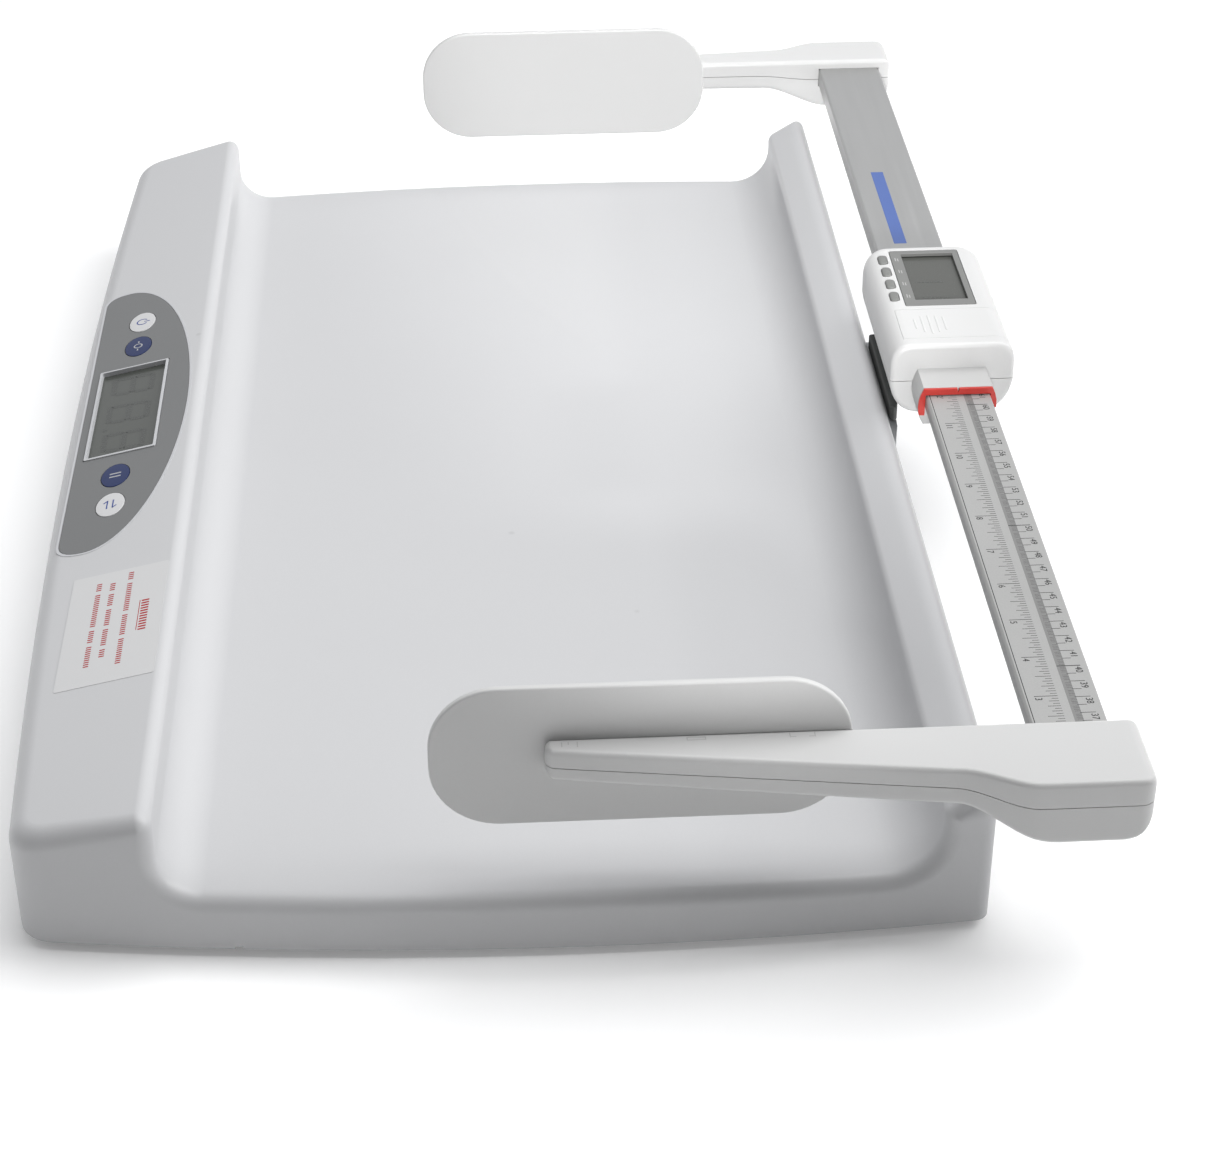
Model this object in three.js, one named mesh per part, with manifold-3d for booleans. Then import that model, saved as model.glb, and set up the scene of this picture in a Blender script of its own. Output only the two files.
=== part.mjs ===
// Infant weighing tray with an electronic length rod.
// Millimetres, +Z up. +X runs along the tray towards the sliding foot arm, -Y is the user's side with the
// console, +Y is the side with the length rod. Sizes below are in the tray's own frame: X = 0 is the middle
// of the tray, Z = 0 is the table. The whole group is centred on its own footprint at the end.
import * as THREE from 'three';
import { mergeVertices } from 'three/addons/utils/BufferGeometryUtils.js';
import Module from 'manifold-3d';

const wasm = await Module();
wasm.setup();

// ---------------------------------------------------------------- driving dimensions
const gap = 0.3;                 // clearance between neighbouring pieces

const tray = {
  halfLength: 311.9,             // at the crest of the bowed ends
  endSag: 10.8,                  // the ends fall back by this much ...
  endSagAt: 180,                 // ... this far from the crest
  frontY: -230.5,                // crest of the bowed front
  frontSag: 9,                   // the front falls back by this much ...
  frontSagAt: 300,               // ... this far from the middle
  backY: 141.3,
  frontCorner: 15,
  backCorner: 5,
  skirtZ: 4,
  bedZ: 27,
  wall: 3,
  ridgeY: -168,
  ridgeZ: 62.6,
  ridgeRadius: 4,
  leftFillet: 17,
  rightFillet: 20,
  backInnerY: 122,
  backCreaseZ: 54,
  backTopY: 134,
  backTopZ: 63.4,
  backRadius: 6,
  notchY: -139.5,
  notchWidth: 3,
  notchHeight: 1.2,
};
const consoleSlope = 0.22;
const consoleX = -15.2;
const consoleY = -200;

const keypad = {
  halfLength: 119.2,
  flatSide: -24.3,
  shoulder: -13,
  rise: 37.5,
  corner: 10.5,
  top: 0.25,
  bottom: -0.45,
};
const lcdWindow = { length: 82, width: 34, v: -4 };
const keyCap = { length: 19, width: 12.9 };
const keyPlaces = { key_power: -84.9, key_zero: -60.3, key_hold: 59.5, key_units: 84.2 };
const mainLcd = { inset: 2, bottom: -6.6, top: -3.4 };
const mainBoard = { halfLength: 100, v0: -22, v1: 18, bottom: -11.6, top: -10 };
const inlet = { x0: -298.2, x1: -285, y: -195, z: 16, width: 12, height: 10, socket: 3.4, pin: 1 };
const batteryBay = { x0: 142, x1: 254, y0: -218.5, y1: -177, z0: 9, z1: 42, wall: 1.5 };
const batteryLid = { z0: 6.7, z1: 8.7 };
const aaCell = { length: 48.5, radius: 7.1, tip: 1.7, tipRadius: 2.7 };
const aaPlaces = [[146, -205, 17.5], [199, -205, 17.5], [146, -191, 33], [199, -191, 33]];

const rod = {
  y: 167.2,                      // centre line of the telescopic rod
  railWidth: 33,
  railBottom: 76.3,
  railTop: 86.3,
  railStart: -342,
  railEnd: 24,
  rulerWidth: 28.6,
  rulerBottom: 78,
  rulerTop: 83.9,
  rulerStart: -84,
  rulerEnd: 331,
  channelWidth: 29.4,            // inside the outer rail
  channelBottom: 77.7,
  channelTop: 84.3,
  boreWidth: 25,                 // inside the hollow ruler
  boreHeight: 3.2,
};
const arm = {
  tipY: -25,
  endY: 190,
  top: 91,
  tipBottom: 78,
  armBottom: 75.6,
  blockBottom: 64.2,
  wall: 2,
};
const foot = { plateX: 295.5, armX: 298.8, tipX: 306.5, midX: 326.3, frontX: 337 };
const head = { plateX: -317.5, armX: -317.8, tipX: -324.5, midX: -336, frontX: -346 };
const paddle = { y0: -66.8, y1: 86.6, z0: 52.5, z1: 112.8, thickness: 3, corner: 26 };

const display = {
  x0: -72,
  x1: 27.5,
  y: 167.8,
  halfWidth: 27.8,
  halfTop: 18.8,
  halfBottom: 13,
  tuck: 2.2,                     // how far the lower sides draw in
  top: 99,
  shoulder: 88,
  belly: 80,
  bottom: 64.5,
  seam: 81.2,
  wall: 2,
  corner: 9,
  frontCorner: 2.2,
  snoutX: 45,
};
const snout = { halfTop: 15.2, halfBottom: 14.5, bulge: 20, bulgeZ: 78, z0: 69, z1: 87.3 };
const bezel = { x0: -66, x1: -10.5, y0: 151.9, y1: 184, floor: 97.7 };
const door = { x0: -7, x1: 20.6, y0: 146, z0: 90 };
const buttonXs = [-57.2, -44.9, -32.5, -20.1];
const buttonY = 147.9;
const buttonCap = { halfLength: 4.6, halfWidth: 2.1, corner: 1.8 };
const encoder = { x: 12, z: 86.4, radius: 2.4 };
const coin = { x: 6.8, y: 167, radius: 10, z0: 91, z1: 94.2 };

const base = { x: 255, y0: -168, y1: 112, z: 6, plate: 2, rim: 18 };
const footPlaces = [[-225, -145], [225, -145], [-225, 90], [225, 90]];
const footStem = 4;
const postPlaces = [[-190, -110], [190, -110], [-190, 55], [190, 55]];
const post = { radius: 5, z0: 8.3, z1: 20.9 };
const cellBar = { halfLength: 65, y0: -37, y1: -13, z0: 10.1, z1: 20.1, pad: 30, padThickness: 1.5 };
const cellBore = { x: 7, radius: 3.7, halfSlot: 1 };
const spider = { x: 210, y0: -130, y1: 75, z0: 22.2, z1: 23.7 };
const spiderWindow = { x0: 90, x1: 180, y0: -90, y1: 35 };
const bracket = { x0: -56, x1: -8, thickness: 2.5, z0: 22, z1: 56.5, shelfX0: -52, shelfX1: -8, shelfY: 182 };
const bracketScrews = { xs: [-45, -19], z: 40, shank: 2, head: 4, headHeight: 2.6, tipY: 133 };
const cheek = [[-10, 141.6], [42, 141.6], [24, 145.2], [-10, 147]];
const pad = { z0: 56.8, z1: 64.2 };
const padPlan = [[-50, 142], [20, 142], [21.5, 143.4], [20.5, 145.2], [-8, 150], [-8, 182], [-50, 182]];

// ---------------------------------------------------------------- materials
const looks = {
  trayWhite: [0xd9dadd, 0.42, 0],
  rodWhite: [0xeeeeee, 0.4, 0],
  keypadGrey: [0x7d7f86, 0.45, 0],
  keyWhite: [0xf0f0f2, 0.4, 0],
  keyBlue: [0x2f4a9e, 0.4, 0],
  lcd: [0x7f8580, 0.25, 0],
  frameWhite: [0xe6e7ea, 0.4, 0],
  aluminium: [0xb9babb, 0.35, 0.9],
  bezelGrey: [0x8f918f, 0.4, 0],
  buttonGrey: [0x8a8c8b, 0.6, 0],
  red: [0xd23a32, 0.45, 0],
  rubber: [0x2b2c2d, 0.9, 0],
  steel: [0xa8a9ab, 0.4, 0.8],
  board: [0x1f5a37, 0.6, 0],
  cell: [0x9a8038, 0.4, 0.5],
  darkPlastic: [0x3a3b3d, 0.6, 0],
};

function material(look) {
  const [color, roughness, metalness] = looks[look];
  return new THREE.MeshStandardMaterial({ color, roughness, metalness });
}

// ---------------------------------------------------------------- solids
function solid(geometry) {
  const plain = geometry.clone();
  plain.deleteAttribute('normal');
  plain.deleteAttribute('uv');
  const merged = mergeVertices(plain, 1e-4);
  const vertProperties = new Float32Array(merged.attributes.position.array);
  const triVerts = new Uint32Array(merged.index.array);
  return new wasm.Manifold(new wasm.Mesh({ numProp: 3, vertProperties, triVerts }));
}

function geometryOf(manifold) {
  const mesh = manifold.getMesh();
  const geometry = new THREE.BufferGeometry();
  geometry.setAttribute('position', new THREE.BufferAttribute(new Float32Array(mesh.vertProperties), 3));
  geometry.setIndex(new THREE.BufferAttribute(new Uint32Array(mesh.triVerts), 1));
  geometry.computeVertexNormals();
  return geometry;
}

function join(first, ...others) {
  return geometryOf(others.reduce((whole, piece) => whole.add(solid(piece)), solid(first)));
}

function cut(first, ...tools) {
  return geometryOf(tools.reduce((whole, tool) => whole.subtract(solid(tool)), solid(first)));
}

function common(first, second) {
  return geometryOf(solid(first).intersect(solid(second)));
}

function box(x0, x1, y0, y1, z0, z1) {
  const geometry = new THREE.BoxGeometry(x1 - x0, y1 - y0, z1 - z0);
  return geometry.translate((x0 + x1) / 2, (y0 + y1) / 2, (z0 + z1) / 2);
}

// A plan outline in X and Y, raised along Z.
function raised(shape, z0, z1, curveSegments = 8) {
  const options = { depth: z1 - z0, bevelEnabled: false, curveSegments };
  return new THREE.ExtrudeGeometry(shape, options).translate(0, 0, z0);
}

// A section in Y and Z, drawn out along X.
function drawnAlongX(shape, x0, x1, curveSegments = 6) {
  const options = { depth: x1 - x0, bevelEnabled: false, curveSegments };
  const turn = new THREE.Matrix4().makeBasis(
    new THREE.Vector3(0, 1, 0),
    new THREE.Vector3(0, 0, 1),
    new THREE.Vector3(1, 0, 0),
  );
  return new THREE.ExtrudeGeometry(shape, options).applyMatrix4(turn).translate(x0, 0, 0);
}

function polygon(points) {
  return new THREE.Shape(points.map(([x, y]) => new THREE.Vector2(x, y)));
}

function roundedRectangle(x0, x1, y0, y1, radius) {
  const shape = new THREE.Shape();
  shape.moveTo(x0 + radius, y0);
  shape.lineTo(x1 - radius, y0);
  shape.absarc(x1 - radius, y0 + radius, radius, -Math.PI / 2, 0);
  shape.lineTo(x1, y1 - radius);
  shape.absarc(x1 - radius, y1 - radius, radius, 0, Math.PI / 2);
  shape.lineTo(x0 + radius, y1);
  shape.absarc(x0 + radius, y1 - radius, radius, Math.PI / 2, Math.PI);
  shape.lineTo(x0, y0 + radius);
  shape.absarc(x0 + radius, y0 + radius, radius, Math.PI, 1.5 * Math.PI - 1e-3);
  return shape;
}

function upright(x, y, z0, z1, radius, segments = 24) {
  const geometry = new THREE.CylinderGeometry(radius, radius, z1 - z0, segments);
  return geometry.rotateX(Math.PI / 2).translate(x, y, (z0 + z1) / 2);
}

function acrossY(x, z, y0, y1, radius, segments = 20) {
  return new THREE.CylinderGeometry(radius, radius, y1 - y0, segments).translate(x, (y0 + y1) / 2, z);
}

function alongX(y, z, x0, x1, radius, segments = 20) {
  const geometry = new THREE.CylinderGeometry(radius, radius, x1 - x0, segments);
  return geometry.rotateZ(Math.PI / 2).translate((x0 + x1) / 2, y, z);
}

// ---------------------------------------------------------------- assembly
const assembly = new THREE.Group();

function place(name, geometry, look, parent = assembly) {
  const mesh = new THREE.Mesh(geometry, material(look));
  mesh.name = name;
  parent.add(mesh);
  return mesh;
}

// The console's sloping face carries its own frame: x along the tray, y up the slope, z out of the face.
const consoleFace = new THREE.Group();
consoleFace.position.set(consoleX, consoleY, consoleTop(consoleY));
consoleFace.rotation.x = Math.atan(consoleSlope);
consoleFace.updateMatrixWorld(true);
assembly.add(consoleFace);

function consoleTop(y) {
  return tray.ridgeZ + consoleSlope * (y - tray.ridgeY + tray.ridgeRadius / 2);
}

function inTrayFrame(geometry) {
  return geometry.clone().applyMatrix4(consoleFace.matrixWorld);
}

// ---------------------------------------------------------------- tray shell
function endX(y) {
  return tray.halfLength - tray.endSag * (y / tray.endSagAt) ** 2;
}

function frontY(x) {
  return tray.frontY + tray.frontSag * (x / tray.frontSagAt) ** 2;
}

// Plan outline of the tray: bowed ends, bowed front, straight back.
function trayOutline(inset) {
  const back = tray.backY - inset;
  const steps = 12;
  const backStart = tray.backY - tray.backCorner;
  const endStop = tray.frontY + tray.frontSag + tray.frontCorner;
  const frontStop = tray.frontSagAt - tray.frontCorner;
  const shape = new THREE.Shape();
  shape.moveTo(-(endX(back) - tray.backCorner), back);
  for (let i = 0; i <= steps; i += 1) {
    const y = backStart + (endStop - backStart) * (i / steps);
    if (i === 0) shape.quadraticCurveTo(-(endX(back) - inset), back, -(endX(y) - inset), y);
    else shape.lineTo(-(endX(y) - inset), y);
  }
  for (let i = 0; i <= steps; i += 1) {
    const x = -frontStop + 2 * frontStop * (i / steps);
    const y = frontY(x) + inset;
    if (i === 0) shape.quadraticCurveTo(-(endX(y) - inset), y, x, y);
    else shape.lineTo(x, y);
  }
  for (let i = 0; i <= steps; i += 1) {
    const y = endStop + (backStart - endStop) * (i / steps);
    const corner = frontY(frontStop) + inset;
    if (i === 0) shape.quadraticCurveTo(endX(corner) - inset, corner, endX(y) - inset, y);
    else shape.lineTo(endX(y) - inset, y);
  }
  shape.quadraticCurveTo(endX(back) - inset, back, endX(back) - tray.backCorner, back);
  return shape;
}

// Section of the tray's skin in Y and Z: console slope, ridge, inner wall, bed, back wall.
function trayProfile(inset, floor) {
  const t = inset;
  const leftR = tray.leftFillet + t;
  const rightR = tray.rightFillet + t;
  const bed = tray.bedZ - t;
  const leftWall = tray.ridgeY - t;
  const rightWall = tray.backInnerY + t;
  const bedCentreZ = tray.bedZ + tray.leftFillet;
  const rightCentreZ = tray.bedZ + tray.rightFillet;
  const out = tray.frontY - 10;
  const slopeDrop = t * Math.hypot(1, consoleSlope);
  const ridgeR = Math.max(tray.ridgeRadius - t, 0.5);
  const shape = new THREE.Shape();
  shape.moveTo(out, floor);
  shape.lineTo(tray.backY - t, floor);
  shape.lineTo(tray.backY - t, tray.backTopZ - tray.backRadius);
  shape.quadraticCurveTo(tray.backY - t, tray.backTopZ - t, tray.backTopY, tray.backTopZ - t);
  shape.lineTo(rightWall + 1.2, tray.backCreaseZ + 1 - t * 0.6);
  shape.quadraticCurveTo(rightWall, tray.backCreaseZ - t * 0.6, rightWall, tray.backCreaseZ - 3 - t * 0.6);
  shape.lineTo(rightWall, rightCentreZ);
  shape.absarc(rightWall - rightR, rightCentreZ, rightR, 0, -Math.PI / 2, true);
  shape.lineTo(leftWall + leftR, bed);
  shape.absarc(leftWall + leftR, bedCentreZ, leftR, -Math.PI / 2, -Math.PI, true);
  shape.lineTo(leftWall, tray.ridgeZ - t - ridgeR);
  shape.quadraticCurveTo(
    leftWall,
    consoleTop(leftWall) - slopeDrop,
    leftWall - ridgeR,
    consoleTop(leftWall - ridgeR) - slopeDrop,
  );
  shape.lineTo(out, consoleTop(out) - slopeDrop);
  return shape;
}

function keypadOutline(grow) {
  const { halfLength, flatSide, shoulder, rise, corner } = keypad;
  const half = halfLength + grow;
  const low = flatSide - grow;
  const shape = new THREE.Shape();
  shape.moveTo(-half + corner, low);
  shape.lineTo(half - corner, low);
  shape.quadraticCurveTo(half, low, half, shoulder);
  shape.absellipse(0, shoulder, half, rise + grow, 0, Math.PI, false, 0);
  shape.quadraticCurveTo(-half, low, -half + corner - 0.01, low);
  return shape;
}

function windowBox(grow, z0, z1) {
  const halfLength = lcdWindow.length / 2 + grow;
  const halfWidth = lcdWindow.width / 2 + grow;
  return box(-halfLength, halfLength, lcdWindow.v - halfWidth, lcdWindow.v + halfWidth, z0, z1);
}

function trayShell() {
  const length = tray.halfLength + 10;
  const outer = common(
    drawnAlongX(trayProfile(0, tray.skirtZ), -length, length),
    raised(trayOutline(0), 0, 80, 5),
  );
  const inner = common(
    drawnAlongX(trayProfile(tray.wall, -10), -length, length),
    raised(trayOutline(tray.wall), -10, 80, 5),
  );
  const recess = inTrayFrame(raised(keypadOutline(gap), keypad.bottom - gap, 20, 10));
  const wells = Object.values(keyPlaces).map((u) => inTrayFrame(keyHole(u, -1.6, 10)));
  const window = inTrayFrame(windowBox(0, -12, 12));
  const inletHole = box(
    inlet.x0 - 7,
    inlet.x1 - 5,
    inlet.y - inlet.width / 2 - gap,
    inlet.y + inlet.width / 2 + gap,
    inlet.z - inlet.height / 2 - gap,
    inlet.z + inlet.height / 2 + gap,
  );
  const notch = box(
    tray.halfLength - 12,
    tray.halfLength + 3,
    tray.notchY - tray.notchWidth / 2,
    tray.notchY + tray.notchWidth / 2,
    tray.skirtZ - 1,
    tray.skirtZ + tray.notchHeight,
  );
  return cut(outer, inner, recess, ...wells, window, inletHole, ...bracketScrewHoles(), notch);
}

// ---------------------------------------------------------------- console
function keypadOverlay() {
  const sheet = raised(keypadOutline(0), keypad.bottom, keypad.top, 10);
  const holes = Object.values(keyPlaces).map((u) => keyHole(u, -5, 5));
  return cut(sheet, windowBox(0, -5, 5), ...holes);
}

function lcdFrame() {
  return cut(windowBox(-gap, -3, 0.9), windowBox(-gap - 1.4, -5, 5));
}

function mainBoardPlate() {
  const { halfLength, v0, v1, bottom, top } = mainBoard;
  return box(-halfLength, halfLength, v0, v1, bottom, top);
}

// Keys are ovals, longer along the tray than across it.
function keyHole(u, z0, z1) {
  const hole = upright(0, 0, z0, z1, 1, 28);
  return hole.scale(keyCap.length / 2 + gap, keyCap.width / 2 + gap, 1).translate(u, lcdWindow.v, 0);
}

function key(u) {
  const profile = [
    new THREE.Vector2(0, keypad.bottom),
    new THREE.Vector2(1, keypad.bottom),
    new THREE.Vector2(1, 0.3),
    new THREE.Vector2(0.93, 0.5),
    new THREE.Vector2(0, 0.55),
  ];
  const cap = new THREE.LatheGeometry(profile, 28).rotateX(Math.PI / 2);
  return cap.scale(keyCap.length / 2, keyCap.width / 2, 1).translate(u, lcdWindow.v, 0);
}

function dcInlet() {
  const { x0, x1, y, z, width, height } = inlet;
  const body = box(x0, x1, y - width / 2, y + width / 2, z - height / 2, z + height / 2);
  const socket = alongX(y, z, x0 - 2, x1 - 3, inlet.socket);
  const pin = alongX(y, z, x0 + 0.7, x1 - 2, inlet.pin, 12);
  return join(cut(body, socket), pin);
}

function batteryBox() {
  const { x0, x1, y0, y1, z0, z1, wall } = batteryBay;
  return cut(box(x0, x1, y0, y1, z0, z1), box(x0 + wall, x1 - wall, y0 + wall, y1 - wall, z0 - 1, z1 - wall));
}

function batteryDoor() {
  return box(batteryBay.x0, batteryBay.x1, batteryBay.y0, batteryBay.y1, batteryLid.z0, batteryLid.z1);
}

function batteryCell(x, y, z) {
  const end = x + aaCell.length;
  const can = alongX(y, z, x, end, aaCell.radius, 18);
  return join(can, alongX(y, z, end - 0.5, end + aaCell.tip, aaCell.tipRadius, 12));
}

// ---------------------------------------------------------------- base and weighing mechanism
function basePan() {
  const { x, y0, y1, z, plate, rim } = base;
  const outer = raised(roundedRectangle(-x, x, y0, y1, 18), z, rim, 4);
  const hollow = raised(roundedRectangle(-x + 2, x - 2, y0 + 2, y1 - 2, 16), z + plate, rim + 5, 4);
  const holes = footPlaces.map(([fx, fy]) => upright(fx, fy, 0, 20, footStem + gap, 16));
  return cut(outer, hollow, ...holes);
}

function levellingFoot(x, y) {
  const profile = [
    [0, 0],
    [12, 0],
    [13, 1],
    [13, 4],
    [11.5, 5.7],
    [footStem, 5.7],
    [footStem, 15.5],
    [footStem - 0.5, 16],
    [0, 16],
  ].map(([r, z]) => new THREE.Vector2(r, z));
  return new THREE.LatheGeometry(profile, 24).rotateX(Math.PI / 2).translate(x, y, 0);
}

function stopPost(x, y) {
  return upright(x, y, post.z0, post.z1, post.radius);
}

function loadCell() {
  const { halfLength, y0, y1, z0, z1 } = cellBar;
  const bar = box(-halfLength, halfLength, y0, y1, z0, z1);
  const middle = (z0 + z1) / 2;
  const { x: boreX, radius, halfSlot } = cellBore;
  const bores = [-boreX, boreX].map((x) => acrossY(x, middle, y0 - 5, y1 + 5, radius, 16));
  const slot = box(-boreX, boreX, y0 - 5, y1 + 5, middle - halfSlot, middle + halfSlot);
  return cut(bar, ...bores, slot);
}

function loadCellFoot() {
  const { halfLength, y0, y1, z0, pad: length, padThickness } = cellBar;
  return box(-halfLength, -halfLength + length, y0, y1, z0 - gap - padThickness, z0 - gap);
}

function loadCellCap() {
  const { halfLength, y0, y1, z1, pad: length, padThickness } = cellBar;
  return box(halfLength - length, halfLength, y0, y1, z1 + gap, z1 + gap + padThickness);
}

function loadSpider() {
  const { x, y0, y1, z0, z1 } = spider;
  const plate = raised(roundedRectangle(-x, x, y0, y1, 12), z0, z1, 3);
  const { x0: near, x1: far, y0: low, y1: high } = spiderWindow;
  return cut(plate, box(-far, -near, low, high, z0 - 2, z1 + 2), box(near, far, low, high, z0 - 2, z1 + 2));
}

// ---------------------------------------------------------------- telescopic rod
function outerRail() {
  const half = rod.railWidth / 2;
  const chamfer = 0.9;
  const shape = new THREE.Shape();
  shape.moveTo(rod.y - half + 0.6, rod.railBottom);
  shape.lineTo(rod.y + half - 0.6, rod.railBottom);
  shape.lineTo(rod.y + half, rod.railBottom + 1.5);
  shape.lineTo(rod.y + half, rod.railTop - chamfer);
  shape.lineTo(rod.y + half - chamfer, rod.railTop);
  shape.lineTo(rod.y - half + chamfer, rod.railTop);
  shape.lineTo(rod.y - half, rod.railTop - chamfer);
  shape.lineTo(rod.y - half, rod.railBottom + 1.5);
  const channel = box(
    rod.railStart - 5,
    rod.railEnd + 5,
    rod.y - rod.channelWidth / 2,
    rod.y + rod.channelWidth / 2,
    rod.channelBottom,
    rod.channelTop,
  );
  const window = box(encoder.x - 6, encoder.x + 6, rod.y - 5.5, rod.y + 5.5, 80, 90);
  return cut(drawnAlongX(shape, rod.railStart, rod.railEnd), channel, window);
}

function ruler() {
  const half = rod.rulerWidth / 2;
  const middle = (rod.rulerBottom + rod.rulerTop) / 2;
  const shape = new THREE.Shape();
  shape.moveTo(rod.y - half, rod.rulerBottom);
  shape.lineTo(rod.y + half, rod.rulerBottom);
  shape.lineTo(rod.y + half, rod.rulerTop - 0.5);
  shape.lineTo(rod.y + half - 0.5, rod.rulerTop);
  shape.lineTo(rod.y - half + 0.9, rod.rulerTop);
  shape.lineTo(rod.y - half, rod.rulerTop - 1.1);
  const bore = box(
    rod.rulerStart - 5,
    rod.rulerEnd + 5,
    rod.y - rod.boreWidth / 2,
    rod.y + rod.boreWidth / 2,
    middle - rod.boreHeight / 2,
    middle + rod.boreHeight / 2,
  );
  return cut(drawnAlongX(shape, rod.rulerStart, rod.rulerEnd), bore);
}

function rulerGlide() {
  const x = rod.rulerStart;
  const middle = (rod.rulerBottom + rod.rulerTop) / 2;
  const half = rod.channelWidth / 2 - 0.25;
  const low = rod.channelBottom + 0.2;
  const high = rod.channelTop - 0.2;
  const flange = box(x - 2.3, x - gap, rod.y - half, rod.y + half, low, high);
  const halfTongue = rod.boreWidth / 2 - gap;
  const halfDepth = rod.boreHeight / 2 - gap;
  const tongue = box(
    x - 1,
    x + 12,
    rod.y - halfTongue,
    rod.y + halfTongue,
    middle - halfDepth,
    middle + halfDepth,
  );
  return join(flange, tongue);
}

// ---------------------------------------------------------------- arms and paddles
// Plan outline of an arm. side is +1 for the foot arm and -1 for the head arm, which is its mirror image.
function armPlan(reach, side, inset) {
  const front = reach.frontX;
  const at = (x) => x - side * inset;
  const near = (x) => x + side * inset;
  const tip = arm.tipY + inset;
  const end = arm.endY - inset;
  const corner = 7 - inset;
  const shape = new THREE.Shape();
  shape.moveTo(near(reach.armX), tip);
  shape.lineTo(at(reach.tipX) - side * 2, tip);
  shape.quadraticCurveTo(at(reach.tipX), tip, at(reach.tipX), tip + 3);
  shape.lineTo(at(reach.midX), 120);
  const growth = front - reach.midX;
  shape.bezierCurveTo(at(reach.midX + growth * 0.2), 131, at(front - growth * 0.1), 141, at(front), 150);
  shape.lineTo(at(front), end - corner);
  shape.quadraticCurveTo(at(front), end, at(front - side * corner * 0.6), end);
  shape.lineTo(near(reach.armX) + side * 2, end);
  shape.quadraticCurveTo(near(reach.armX), end, near(reach.armX), end - 2);
  return shape;
}

// Elevation of an arm in Y and Z: slim over the paddle, deep where it holds the rod.
function armElevation(inset) {
  const top = arm.top - inset;
  const low = arm.blockBottom + inset;
  const end = arm.endY - inset;
  const tip = arm.tipY + inset;
  const tipLow = arm.tipBottom + inset;
  const shape = new THREE.Shape();
  shape.moveTo(tip + 3, tipLow);
  shape.lineTo(86, arm.armBottom + inset);
  shape.lineTo(121, arm.armBottom - 0.3 + inset);
  shape.bezierCurveTo(136, 75 + inset, 138 + inset, low + 3, 154 + inset, low);
  shape.lineTo(end - 12, low);
  shape.quadraticCurveTo(end - 2, low, end, low + 13);
  shape.lineTo(end, top - 5);
  shape.quadraticCurveTo(end, top, end - 5, top);
  shape.lineTo(tip + 2.5, top);
  shape.quadraticCurveTo(tip, top, tip, top - 2.5);
  shape.lineTo(tip, tipLow + 3);
  shape.quadraticCurveTo(tip, tipLow, tip + 2.99, tipLow);
  return shape;
}

// The region above the arm's seam line; the seam steps down towards the rod.
function aboveSeam(shift, x0, x1) {
  const shape = new THREE.Shape();
  shape.moveTo(-60, 83.7 + shift);
  shape.lineTo(118, 82.9 + shift);
  shape.bezierCurveTo(129, 82.8 + shift, 134, 80.3 + shift, 146, 80.3 + shift);
  shape.lineTo(220, 80.3 + shift);
  shape.lineTo(220, 120);
  shape.lineTo(-60, 120);
  return drawnAlongX(shape, x0, x1, 5);
}

function armBody(reach, side, inset) {
  const x0 = Math.min(reach.armX, reach.frontX) - 10;
  const x1 = Math.max(reach.armX, reach.frontX) + 10;
  return common(
    raised(armPlan(reach, side, inset), 40, 120, 4),
    drawnAlongX(armElevation(inset), x0, x1, 4),
  );
}

function armShells(reach, side, socket, rest) {
  const x0 = Math.min(reach.armX, reach.frontX) - 20;
  const x1 = Math.max(reach.armX, reach.frontX) + 20;
  const skin = cut(armBody(reach, side, 0), armBody(reach, side, arm.wall));
  const upper = common(skin, aboveSeam(gap / 2, x0, x1));
  const lower = join(cut(skin, aboveSeam(-gap / 2, x0, x1)), rest);
  return { upper: cut(upper, socket), lower: cut(lower, socket) };
}

function footArm() {
  const half = rod.rulerWidth / 2 + gap;
  const low = rod.rulerBottom - gap;
  const socket = box(290, rod.rulerEnd + gap, rod.y - half, rod.y + half, low, rod.rulerTop + gap);
  const rest = box(311, 325, rod.y - 10, rod.y + 10, arm.blockBottom + 1.5, low);
  return armShells(foot, 1, socket, rest);
}

function headArm() {
  const half = rod.railWidth / 2 + gap;
  const low = rod.railBottom - gap;
  const socket = box(rod.railStart - gap, -290, rod.y - half, rod.y + half, low, rod.railTop + gap);
  const rest = box(-336, -322, rod.y - 10, rod.y + 10, arm.blockBottom + 1.5, low);
  const shells = armShells(head, -1, socket, rest);
  const lip = box(head.armX - 1.5, -304, rod.y - 14.7, rod.y + 14.8, 70, low);
  return { upper: shells.upper, lower: join(shells.lower, lip) };
}

function paddlePlate(x) {
  const outline = roundedRectangle(paddle.y0, paddle.y1, paddle.z0, paddle.z1, paddle.corner);
  return drawnAlongX(outline, x, x + paddle.thickness, 8);
}

// ---------------------------------------------------------------- display head
function displaySection(inset) {
  const { y, halfWidth, halfTop, halfBottom } = display;
  const top = display.top - inset;
  const low = display.bottom + inset;
  const half = halfWidth - inset;
  const shape = new THREE.Shape();
  shape.moveTo(y - halfBottom, low);
  shape.lineTo(y + halfBottom, low);
  shape.quadraticCurveTo(y + half - display.tuck, low, y + half, display.belly);
  shape.lineTo(y + half, display.shoulder);
  shape.quadraticCurveTo(y + half, top, y + halfTop, top);
  shape.lineTo(y - halfTop, top);
  shape.quadraticCurveTo(y - half, top, y - half, display.shoulder);
  shape.lineTo(y - half, display.belly);
  shape.quadraticCurveTo(y - half + display.tuck, low, y - halfBottom - 0.01, low);
  return shape;
}

function displayBody(inset) {
  const { x0, x1, y, halfWidth, corner, frontCorner } = display;
  const half = halfWidth - inset;
  const back = roundedRectangle(x0 + inset, x1 - inset, y - half, y + half, corner - inset);
  const front = roundedRectangle(x0 + 30, x1 - inset, y - half, y + half, frontCorner);
  const plan = join(raised(back, 40, 120, 4), raised(front, 40, 120, 3));
  return common(plan, drawnAlongX(displaySection(inset), x0, x1, 5));
}

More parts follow.
